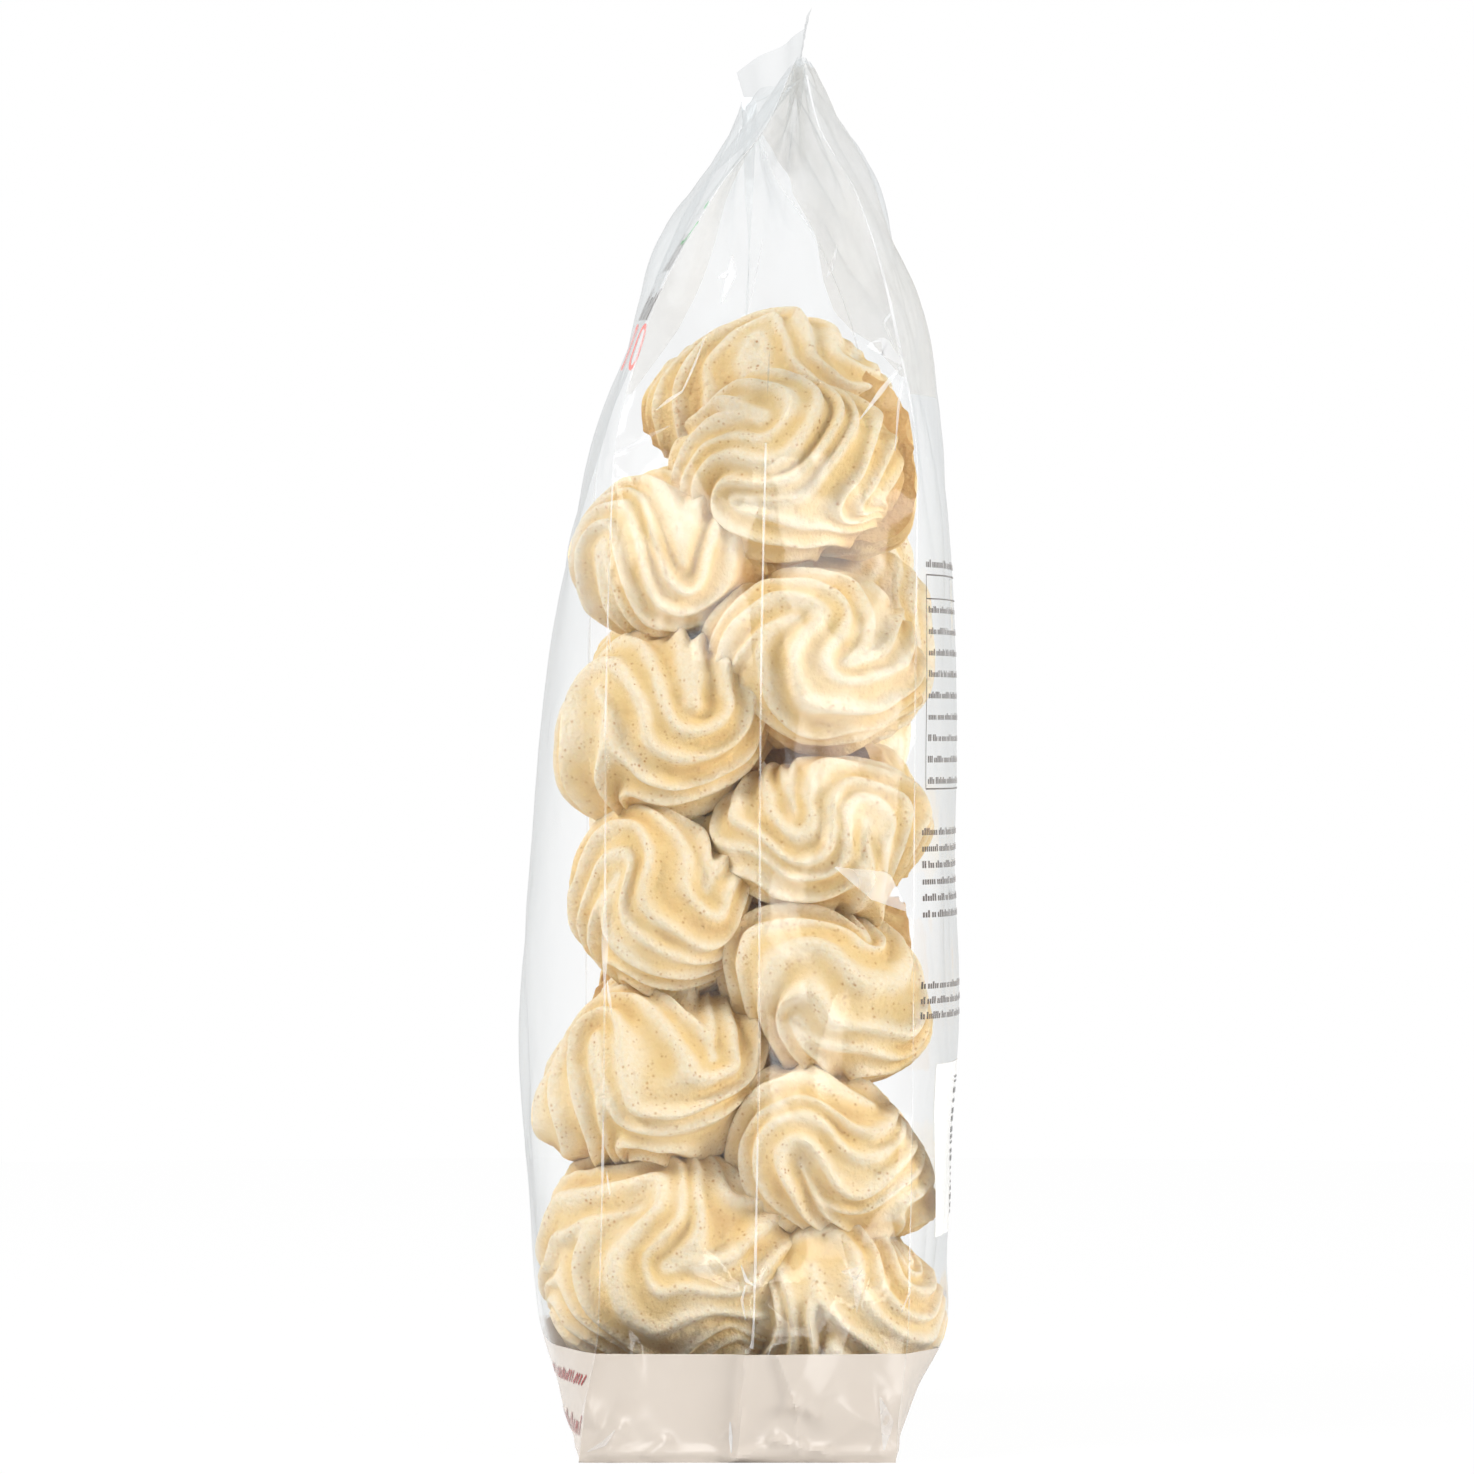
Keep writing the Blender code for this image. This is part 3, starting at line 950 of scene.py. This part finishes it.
def film_ring(trees):
    """Points of the film from base to seal, wrapped over the shells: columns by rows."""
    columns, relief = [], []
    height = np.concatenate([np.linspace(0.0, BAND_HEIGHT, BAND_ROWS + 1)[:-1],
                             np.linspace(BAND_HEIGHT, SEAL_BOTTOM, FILM_ROWS + 1)])
    for panel in PANELS:
        across = np.linspace(-1.0, 1.0, FILM_COLUMNS[panel] + 1)[:-1]
        wall = bag_wall(panel, across[:, None], height[None, :])
        columns.append(wall)
        relief.append(film_relief(panel, wall, np.broadcast_to(across[:, None], wall.shape[:2])))
    plain, relief = np.concatenate(columns), np.concatenate(relief)
    normals = ring_normals(plain)
    shaped = pinched(plain + normals * relief[..., None])
    offset = ((shaped - plain) * normals).sum(-1)
    push = np.maximum(shell_heights(plain, normals, trees) + FILM_GAP - offset, 0.0)
    push *= ease(2.0, 8.0, height) * (1.0 - ease(SEAL_BOTTOM - 30.0, SEAL_BOTTOM - 10.0, height))
    wrapped = shaped + normals * stretched(push)[..., None]
    wrapped[..., 2] = np.maximum(wrapped[..., 2], 0.0)
    return wrapped


def ring_faces(columns, rows):
    """Quads of a closed ring of columns."""
    index = np.arange(columns * rows).reshape(columns, rows)
    following = np.roll(index, -1, 0)
    return np.stack([index[:, :-1], following[:, :-1], following[:, 1:], index[:, 1:]], -1).reshape(-1, 4)


def film_tube(name, ring):
    """Film object from a closed ring of columns, sharp along the bag's folds."""
    made = mesh_object(name, ring, ring_faces(*ring.shape[:2]).tolist())
    made.data.set_sharp_from_angle(angle=math.radians(32.0))
    return made


def fold_line(name, ring, column, low, high, width):
    """Thin white strip along one fold of the film, a painted highlight, between two heights."""
    line = ring[column]
    normals = ring_normals(ring)[column]
    keep = (line[:, 2] >= low) & (line[:, 2] <= high)
    line, normals = line[keep], normals[keep]
    along = np.gradient(line, axis=0)
    sideways = np.cross(along, normals)
    sideways /= np.linalg.norm(sideways, axis=-1)[:, None]
    reach = 0.5 * width * (0.7 + 0.5 * ripple(line, column, 30.0)[:, None] ** 2)
    middle = line + 0.12 * normals
    grid = np.stack([middle - reach * sideways, middle + 0.08 * normals, middle + reach * sideways])
    return mesh_object(name, grid, grid_faces(3, len(line)).tolist())


def seal_strip():
    """Heat-sealed strip that joins the panels at the top."""
    side = np.linspace(-1.0, 1.0, 121)[:, None]
    rise = np.linspace(0.0, 1.0, 13)[None, :]
    along = (side + 1.0) / 2.0
    lean = mix(SEAL_LEAN_NEAR, SEAL_LEAN_FAR, along) * rise
    top = BAG_HEIGHT - SEAL_DROP_FAR * along
    ribs = 0.12 * np.sin(2.0 * math.pi * rise * 7.0)
    points = np.stack(np.broadcast_arrays(seal_x(side) + lean + ribs, PANEL_WIDTH / 2.0 * side,
                                          mix(SEAL_BOTTOM - 0.5, top, rise)), -1)
    wobble = 0.5 * ripple(points, 91, 26.0) * np.sqrt(rise)
    points[..., 0] += wobble
    return mesh_object("film_seal", points, grid_faces(121, 13).tolist())


def film_base():
    """Flat printed base with the cross folds of a block bottom."""
    count = 60
    u = np.linspace(-1.0, 1.0, count + 1)[:, None]
    v = np.linspace(-1.0, 1.0, count + 1)[None, :]
    half_x = OUTLINE[0, 5]
    half_y = bag_half_width(0.0)
    x, y = np.broadcast_arrays(u * half_x, v * half_y)
    fold = np.abs(np.abs(y) - (half_y - half_x * (1.0 - np.abs(x) / half_x)))
    rise = 0.12 + 0.25 * np.exp(-fold / 0.8) + 0.3 * np.exp(-np.abs(x) / 0.8)
    rim = 1.0 - np.maximum(np.abs(u), np.abs(v)) ** 30
    return mesh_object("film_base", np.stack([x, y, rise * rim], -1), grid_faces(count + 1, count + 1)[:, ::-1].tolist())


# ---------------------------------------------------------------------------------------------
# Print on the film: plain fields, bars and lines
# ---------------------------------------------------------------------------------------------

PRINT_LIFT = 0.15            # print stands this far off the film


def on_film(ring, panel, sideways, height, lift=PRINT_LIFT):
    """Points just outside a panel's film, sideways in mm from its middle and height in mm."""
    first = sum(FILM_COLUMNS[name] for name in PANELS[:PANELS.index(panel)])
    half = (GUSSET_WIDTH if panel in ("near", "far") else PANEL_WIDTH) / 2.0
    column = first + FILM_COLUMNS[panel] * (1.0 + np.asarray(sideways, float) / half) / 2.0
    levels = np.concatenate([np.linspace(0.0, BAND_HEIGHT, BAND_ROWS + 1)[:-1],
                             np.linspace(BAND_HEIGHT, SEAL_BOTTOM, FILM_ROWS + 1)])
    row = np.interp(height, levels, np.arange(len(levels)))
    column, row = np.broadcast_arrays(column, row)
    low_column, low_row = np.floor(column).astype(int), np.minimum(np.floor(row).astype(int), len(levels) - 2)
    across, up = (column - low_column)[..., None], (row - low_row)[..., None]
    count = ring.shape[0]
    total = 0.0
    for grid, share in ((ring, 1.0), (ring_normals(ring), lift)):
        low = mix(grid[low_column % count, low_row], grid[(low_column + 1) % count, low_row], across)
        high = mix(grid[low_column % count, low_row + 1], grid[(low_column + 1) % count, low_row + 1], across)
        total = total + share * mix(low, high, up)
    return total


def print_field(ring, panel, left, right, low, high, lift=PRINT_LIFT):
    """Points and faces of a rectangular printed field."""
    sideways = np.linspace(left, right, max(int((right - left) / 0.8), 1) + 1)
    height = np.linspace(low, high, max(int((high - low) / 0.8), 1) + 1)
    points = on_film(ring, panel, sideways[:, None], height[None, :], lift)
    return points.reshape(-1, 3), grid_faces(len(sideways), len(height))


def print_stroke(ring, panel, path, width):
    """Points and faces of a printed stroke of one width along a path of (sideways, height)."""
    path = np.asarray(path, float)
    along = np.gradient(path, axis=0)
    along /= np.linalg.norm(along, axis=-1)[:, None]
    aside = np.stack([-along[:, 1], along[:, 0]], -1) * width / 2.0
    edges = np.stack([path + aside, path - aside])
    points = on_film(ring, panel, edges[..., 0], edges[..., 1])
    return points.reshape(-1, 3), grid_faces(2, len(path))


def print_piece(name, shapes):
    """One object from several printed shapes."""
    points, faces, count = [], [], 0
    for shape_points, shape_faces in shapes:
        points.append(shape_points)
        faces.extend((shape_faces + count).tolist())
        count += len(shape_points)
    return mesh_object(name, np.concatenate(points), faces)


def text_rows(ring, panel, left, right, heights, tall, seed):
    """Rows of plain letter-sized bars that stand for lines of small print."""
    draw = np.random.default_rng(seed)
    shapes = []
    for height in heights:
        start = left
        end = right - draw.uniform(0.0, 0.3) * (right - left)
        while start < end:
            for _ in range(draw.integers(2, 9)):
                top = height + tall * draw.choice((0.35, 0.35, 0.7))
                shapes.append(print_field(ring, panel, start, start + 0.6 * tall, height - 0.5 * tall, top))
                start += 0.8 * tall
            start += 0.5 * tall
    return shapes


def box_outline(ring, panel, left, right, low, high, width):
    """Four strokes round a rectangle."""
    shapes = []
    for level in (low, high):
        shapes.append(print_field(ring, panel, left, right, level - width / 2.0, level + width / 2.0))
    for side in (left, right):
        shapes.append(print_field(ring, panel, side - width / 2.0, side + width / 2.0, low, high))
    return shapes


def arc_path(centre, radius, start, stop, count=24):
    """Points along an arc, angles in degrees."""
    angle = np.radians(np.linspace(start, stop, count))
    return np.stack([centre[0] + radius * np.cos(angle), centre[1] + radius * np.sin(angle)], -1)


TABLE_LEFT = -67.0           # the back panel's table, from its middle towards the near gusset
TABLE_RIGHT = -8.0
TABLE_LOW = 155.0
TABLE_HIGH = 204.5
TABLE_HEAD = 199.0
LABEL_LEFT = -59.0
LABEL_LOW = 51.0
LABEL_HIGH = 91.0
LABEL_WIDE = 37.0


def back_print(ring):
    """Ruled table, lines of small print and a white field with plain bars."""
    table = box_outline(ring, "back", TABLE_LEFT, TABLE_RIGHT, TABLE_LOW, TABLE_HIGH, 0.35)
    table.append(print_field(ring, "back", TABLE_LEFT, TABLE_RIGHT, TABLE_HEAD - 0.15, TABLE_HEAD + 0.15))
    rows = np.linspace(TABLE_HEAD - 2.6, TABLE_LOW + 1.8, 9)
    small = text_rows(ring, "back", TABLE_LEFT + 1.2, TABLE_RIGHT - 20.0, rows, 1.3, 1)
    small += text_rows(ring, "back", TABLE_RIGHT - 14.0, TABLE_RIGHT - 4.0, rows, 1.3, 2)
    small += text_rows(ring, "back", TABLE_LEFT, TABLE_RIGHT - 8.0, [207.0], 1.5, 3)
    small += text_rows(ring, "back", -69.0, 2.0, np.linspace(145.0, 126.0, 6), 1.4, 4)
    small += text_rows(ring, "back", -69.5, -10.0, np.linspace(109.5, 102.5, 3), 1.4, 5)
    field = [print_field(ring, "back", LABEL_LEFT, LABEL_LEFT + LABEL_WIDE, LABEL_LOW, LABEL_HIGH)]
    draw = np.random.default_rng(6)
    bars, edge = [], LABEL_LOW + 4.0
    while edge < LABEL_HIGH - 4.0:
        thick = draw.choice((0.5, 0.5, 0.9, 1.3))
        bars.append(print_field(ring, "back", LABEL_LEFT + 24.0, LABEL_LEFT + LABEL_WIDE - 3.0, edge, edge + thick,
                                2.0 * PRINT_LIFT))
        edge += thick + draw.choice((0.6, 0.9, 1.3))
    return table + small, field, bars


def slanted_marks(ring, panel, left, right, low, high, step, seed):
    """A row of slanted strokes like hurried brush writing, without letters."""
    draw = np.random.default_rng(seed)
    shapes = []
    middle = left
    while middle < right:
        lean = draw.uniform(0.6, 1.6)
        top = mix(low, high, draw.uniform(0.6, 1.0))
        path = [(middle - lean, low), (middle, mix(low, top, 0.5)), (middle + lean, top)]
        shapes.append(print_stroke(ring, panel, path, draw.uniform(0.25, 0.5) * step))
        middle += step * draw.uniform(0.7, 1.3)
    return shapes


def front_print(ring):
    """Plain marks on the front panel: dark strokes, green arcs and red rounded loops."""
    dark = slanted_marks(ring, "front", 58.0, 72.0, 274.5, 284.0, 2.0, 7)
    dark += slanted_marks(ring, "front", 56.0, 72.0, 263.0, 271.0, 1.6, 8)
    dark += box_outline(ring, "front", 63.5, 68.5, 299.0, 302.0, 0.4)
    green = [print_stroke(ring, "front", arc_path((66.0, 288.0), 7.0, -110.0, -20.0), 0.9),
             print_stroke(ring, "front", arc_path((70.0, 289.5), 0.5, 0.0, 360.0), 1.0)]
    red = []
    for middle in (60.0, 70.0):
        loop = np.concatenate([arc_path((middle, 259.0), 2.6, 0.0, 180.0, 12),
                               arc_path((middle, 254.5), 2.6, 180.0, 360.0, 12),
                               [(middle + 2.6, 259.0)]])
        red.append(print_stroke(ring, "front", loop, 1.2))
    foot = slanted_marks(ring, "front", 30.0, 70.5, 17.5, 20.5, 2.0, 10)
    foot += slanted_marks(ring, "front", 24.0, 70.5, 6.0, 11.0, 2.6, 11)
    return dark, green, red, foot


# ---------------------------------------------------------------------------------------------
# Doubled film under the seal, and painted highlights on creases
# ---------------------------------------------------------------------------------------------

# Inner edges of the doubled film on the near gusset, as (height, x), towards the front and
# towards the back; single clear film shows between them.
FLAP_FRONT = ((246.0, -24.5), (261.0, -15.1), (270.5, -10.4), (283.0, -4.7), (294.0, 0.0), (306.0, 5.9),
              (322.0, 14.0))
FLAP_BACK = ((250.0, 38.0), (258.0, 31.9), (261.0, 27.2), (265.5, 23.2), (272.5, 20.8), (283.0, 18.4),
             (294.0, 13.2), (298.5, 12.3), (303.5, 8.0), (306.0, 6.1), (322.0, 14.1))
FLAP_TOP = 322.0
DOUBLED_BACK = 30.0          # how far the doubled film reaches along the back panel

# Painted highlights where creases of the near gusset shine, as (x, height, width) along each.
GLINTS = (
    ((31.0, 257.5, 0.2), (34.5, 257.0, 4.5), (38.3, 252.6, 0.2)),
    ((39.2, 273.0, 0.3), (37.2, 268.0, 0.5), (34.6, 262.5, 0.5), (38.3, 252.6, 0.3)),
    ((30.8, 257.2, 0.3), (38.3, 252.6, 0.5)),
    ((38.3, 252.6, 0.6), (33.0, 246.5, 1.2), (28.0, 240.5, 0.2)),
    ((22.5, 137.0, 0.3), (33.0, 132.5, 7.5), (39.0, 127.0, 0.5)),
    ((38.6, 250.0, 0.3), (37.5, 244.0, 0.8), (36.5, 233.0, 0.2)),
    ((-1.0, 279.0, 0.3), (-1.5, 274.5, 3.6), (-4.5, 267.5, 0.3)),
    ((-5.0, 273.5, 0.3), (-2.5, 274.5, 1.6), (-1.8, 273.0, 0.3)),
    ((21.5, 273.5, 0.2), (22.5, 276.0, 1.5), (23.5, 281.0, 0.2)),
    ((6.3, 283.0, 0.2), (4.5, 275.0, 0.5), (2.8, 268.5, 0.2)),
    ((-8.0, 261.0, 0.3), (-11.0, 253.0, 0.7), (-13.6, 246.5, 0.4)),
    ((-13.6, 246.5, 0.5), (-16.5, 244.5, 1.0), (-19.5, 242.0, 0.2)),
    ((-28.5, 232.0, 0.3), (-22.0, 235.5, 1.2), (-16.0, 238.5, 0.2)),
    ((-29.6, 194.0, 0.1), (-29.4, 190.5, 0.5), (-29.0, 187.0, 0.1)),
    ((-29.9, 111.0, 0.1), (-29.4, 106.5, 0.8), (-28.8, 103.0, 0.1)),
    ((-30.0, 67.0, 0.1), (-29.6, 64.0, 0.5), (-29.2, 61.5, 0.1)),
    ((1.0, 45.5, 0.2), (2.2, 42.0, 0.8), (4.5, 40.5, 0.2)),
    ((2.0, 41.0, 0.2), (1.2, 37.5, 0.7), (2.0, 33.0, 0.2)),
    ((24.0, 44.0, 0.3), (28.0, 43.5, 3.6), (27.5, 34.5, 0.2)),
    ((40.2, 46.0, 0.2), (40.0, 40.0, 0.6), (37.8, 34.5, 0.2)),
    ((33.0, 15.0, 0.4), (34.6, 9.0, 3.0), (33.8, 3.0, 0.4)),
    ((-34.5, 2.5, 0.3), (-30.5, 4.5, 1.3), (-28.0, 7.5, 0.3)),
    ((-1.5, 9.5, 0.3), (-1.4, 6.0, 1.0), (-1.2, 2.5, 0.3)),
)


def across_near(x, height):
    """Fraction of the way from the near gusset's centre to its crease, at x."""
    _, _, near, _, half_gap = outline_at(height)
    return np.clip((x - near) / half_gap, -1.0, 1.0)


def glint(ring, stops):
    """Points and faces of a painted highlight along a crease, which widens and narrows along its stops."""
    x, height, width = np.array(stops).T
    steps = np.linspace(0.0, len(stops) - 1.0, 10 * len(stops))
    index = np.arange(len(stops))
    x, height, width = (np.interp(steps, index, values) for values in (x, height, width))
    path = np.stack([across_near(x, height) * GUSSET_WIDTH / 2.0, height], -1)
    return print_stroke(ring, "near", path, width[:, None])


def flap(ring, inner, outer):
    """Points and faces of doubled film on the near gusset, from an inner edge to a crease."""
    low = inner[0][0]
    height = np.linspace(low, FLAP_TOP, int(FLAP_TOP - low) + 1)
    levels, edge = np.array(inner).T
    start = across_near(np.interp(height, levels, edge), height)
    share = np.linspace(0.0, 1.0, 16)[:, None]
    across = mix(start[None, :], outer, share)
    points = on_film(ring, "near", across * GUSSET_WIDTH / 2.0, height[None, :])
    return points.reshape(-1, 3), grid_faces(16, len(height))


# ---------------------------------------------------------------------------------------------
# Stage, light and camera
# ---------------------------------------------------------------------------------------------

CAMERA_HEIGHT = 0.167
CAMERA_DISTANCE = 1.75       # from the near gusset
VIEW_SPAN = 0.339            # width and height seen at the near gusset
ROOM_LIGHT = 0.24            # light from behind the camera
BACKDROP_LIGHT = 0.75        # light from the white backdrop and the sides
DIFFUSE_LIGHT = 0.82         # share of that light which matte surfaces receive
FLOOR_GLOW = 0.972           # the floor's own white, for the camera only
FLOOR_SHADED = 0.03          # what the camera still sees of the light and shadow on it


def set_stage():
    """Pale floor under the bag, white beyond it."""
    bpy.ops.mesh.primitive_circle_add(vertices=128, radius=1.2, fill_type="NGON")
    floor = bpy.context.object
    floor.name = "floor"
    material, tree, surface = new_material("pale_floor")
    surface.inputs["Roughness"].default_value = 0.9
    surface.inputs["Specular IOR Level"].default_value = 0.0
    floor.data.materials.append(material)
    sight = node(tree, "ShaderNodeLightPath")
    for low, high, socket in ((0.92, FLOOR_SHADED, "Base Color"), (0.0, FLOOR_GLOW, "Emission Strength")):
        seen = node(tree, "ShaderNodeMapRange")
        seen.inputs["To Min"].default_value = low
        seen.inputs["To Max"].default_value = high
        tree.links.new(sight.outputs["Is Camera Ray"], seen.inputs["Value"])
        tree.links.new(seen.outputs["Result"], surface.inputs[socket])
    surface.inputs["Emission Color"].default_value = (1.0, 1.0, 1.0, 1.0)

    world = bpy.data.worlds.new("white_studio")
    bpy.context.scene.world = world
    world.use_nodes = True
    tree = world.node_tree
    background = tree.nodes["Background"]
    direction = node(tree, "ShaderNodeTexCoord")
    parts = node(tree, "ShaderNodeSeparateXYZ")
    tree.links.new(direction.outputs["Generated"], parts.inputs["Vector"])
    studio = node(tree, "ShaderNodeMapRange", interpolation_type="SMOOTHSTEP")
    studio.inputs["From Min"].default_value = -0.55
    studio.inputs["From Max"].default_value = 0.25
    studio.inputs["To Min"].default_value = ROOM_LIGHT
    studio.inputs["To Max"].default_value = BACKDROP_LIGHT
    tree.links.new(parts.outputs["Y"], studio.inputs["Value"])
    sight = node(tree, "ShaderNodeLightPath")
    dimmed = node(tree, "ShaderNodeMath", operation="MULTIPLY_ADD")
    dimmed.inputs[1].default_value = DIFFUSE_LIGHT - 1.0
    dimmed.inputs[2].default_value = 1.0
    tree.links.new(sight.outputs["Is Diffuse Ray"], dimmed.inputs[0])
    lit = node(tree, "ShaderNodeMath", operation="MULTIPLY")
    tree.links.new(dimmed.outputs["Value"], lit.inputs[0])
    tree.links.new(studio.outputs["Result"], lit.inputs[1])
    level = node(tree, "ShaderNodeMix")
    tree.links.new(sight.outputs["Is Camera Ray"], level.inputs["Factor"])
    tree.links.new(lit.outputs["Value"], level.inputs["A"])
    level.inputs["B"].default_value = 1.0
    tree.links.new(level.outputs["Result"], background.inputs["Strength"])
    background.inputs["Color"].default_value = (1.0, 1.0, 1.0, 1.0)


def soft_box(name, place, size, power, mirrored=True):
    """A rectangular soft light aimed at the middle of the bag, seen in the film if mirrored."""
    light = bpy.data.lights.new(name, "AREA")
    light.shape = "RECTANGLE"
    light.size, light.size_y = size
    light.energy = power
    made = bpy.data.objects.new(name, light)
    bpy.context.scene.collection.objects.link(made)
    made.location = place
    aim = Vector((0.0, 0.0, 0.15)) - Vector(place)
    made.rotation_euler = aim.to_track_quat("-Z", "Y").to_euler()
    made.visible_glossy = mirrored
    return made


def set_lights():
    soft_box("key_left", (-1.15, -0.75, 1.3), (0.6, 0.6), 22.5, mirrored=False)
    soft_box("key_left_sheen", (-1.15, -0.75, 1.3), (0.5, 0.5), 3.5)
    soft_box("fill_right", (1.4, -0.8, 0.6), (0.8, 0.8), 22.0, mirrored=False)
    for place, size, power in (((0.24, -1.75, 0.12), (0.24, 0.3), 1.1), ((-0.02, -1.75, 0.75), (0.4, 1.0), 6.0)):
        window = soft_box("window", place, size, power)
        window.visible_diffuse = False


def set_camera():
    """Level camera square to the near gusset."""
    near_face = cad_box[0][1]
    camera = bpy.data.cameras.new("camera")
    camera.angle = 2.0 * math.atan(VIEW_SPAN / 2.0 / CAMERA_DISTANCE)
    made = bpy.data.objects.new("camera", camera)
    bpy.context.scene.collection.objects.link(made)
    made.location = (0.0, near_face - CAMERA_DISTANCE, CAMERA_HEIGHT)
    made.rotation_euler = (math.radians(90.0), 0.0, 0.0)
    bpy.context.scene.camera = made


def joined(name, pieces):
    """Join objects into one mesh object with that name."""
    with bpy.context.temp_override(active_object=pieces[0], selected_editable_objects=pieces):
        bpy.ops.object.join()
    pieces[0].name = name
    return pieces[0]


def finish(piece, material):
    """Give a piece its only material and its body."""
    piece.data.materials.clear()
    piece.data.materials.append(material)
    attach(piece, "root")


def shell_tree(piece):
    """Search tree of a piece's faces."""
    return BVHTree.FromObject(piece, bpy.context.evaluated_depsgraph_get())


def main():
    set_camera()
    set_stage()
    set_lights()
    bpy.context.scene.view_settings.view_transform = "Standard"
    bpy.context.scene.cycles.transparent_max_bounces = 32
    meringue = meringue_material()
    near_shells = lay_near_shells(meringue)
    poured = lay_poured_shells(meringue, pour_places(near_shells))
    shells = [joined("shells_near_upper", near_shells[:6]), joined("shells_near_lower", near_shells[6:]),
              joined("shells_behind_front", poured[::2]), joined("shells_behind_back", poured[1::2])]
    for piece in shells:
        finish(piece, meringue)

    trees = [shell_tree(piece) for piece in shells]
    clear, foot = film_material(), foot_material()
    ring = film_ring(trees)
    body = film_tube("film_body", ring[:, BAND_ROWS:])
    lower = film_tube("film_foot", ring[:, :BAND_ROWS + 1])
    finish(body, clear)
    finish(lower, foot)
    finish(film_base(), foot)
    finish(seal_strip(), clear)
    near, back, far = (FILM_COLUMNS[panel] for panel in PANELS[:3])
    folds = {"near_left": (0, 8.0, 320.0, 0.7), "near_right": (near, 8.0, 320.0, 0.5),
             "near_middle": (near // 2, 26.0, 236.0, 0.6), "far_right": (near + back, 8.0, 320.0, 0.5),
             "far_middle": (near + back + far // 2, 26.0, 236.0, 0.6),
             "far_left": (near + back + far, 8.0, 320.0, 0.5)}
    # White strips of painted highlight along the folds and on the shining creases
    fold_highlight, glint_highlight = painted_highlight_material(0.1, 0.45), painted_highlight_material(0.15, 0.5)
    for name, (column, low, high, width) in folds.items():
        finish(fold_line("fold_" + name, ring, column, low, high, width), fold_highlight)
    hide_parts(BAG)
    edge = -PANEL_WIDTH / 2.0
    flaps = [flap(ring, FLAP_FRONT, -1.0), flap(ring, FLAP_BACK, 1.0),
             print_field(ring, "back", edge, edge + DOUBLED_BACK, 246.0, FLAP_TOP)]
    finish(print_piece("film_doubled", flaps), doubled_material())
    # Painted highlights on the shining creases
    finish(print_piece("film_glints", [glint(ring, stops) for stops in GLINTS]), glint_highlight)

    dark_ink = ink_material("dark_ink", (0.08, 0.06, 0.05), 0.97)
    small_print, field, bars = back_print(ring)
    dark, green, red, foot_marks = front_print(ring)
    finish(print_piece("print_small", small_print), dark_ink)
    finish(print_piece("print_field", field), ink_material("white_ink", (0.9, 0.9, 0.88), 0.96))
    finish(print_piece("print_bars", bars), ink_material("bar_ink", (0.08, 0.08, 0.08), 0.95))
    finish(print_piece("print_dark", dark), dark_ink)
    finish(print_piece("print_green", green), ink_material("green_ink", (0.04, 0.50, 0.12), 0.98))
    finish(print_piece("print_red", red), ink_material("red_ink", (0.85, 0.16, 0.13), 0.95))
    finish(print_piece("print_foot", foot_marks), ink_material("deep_red_ink", (0.36, 0.03, 0.03), 0.95))


main()
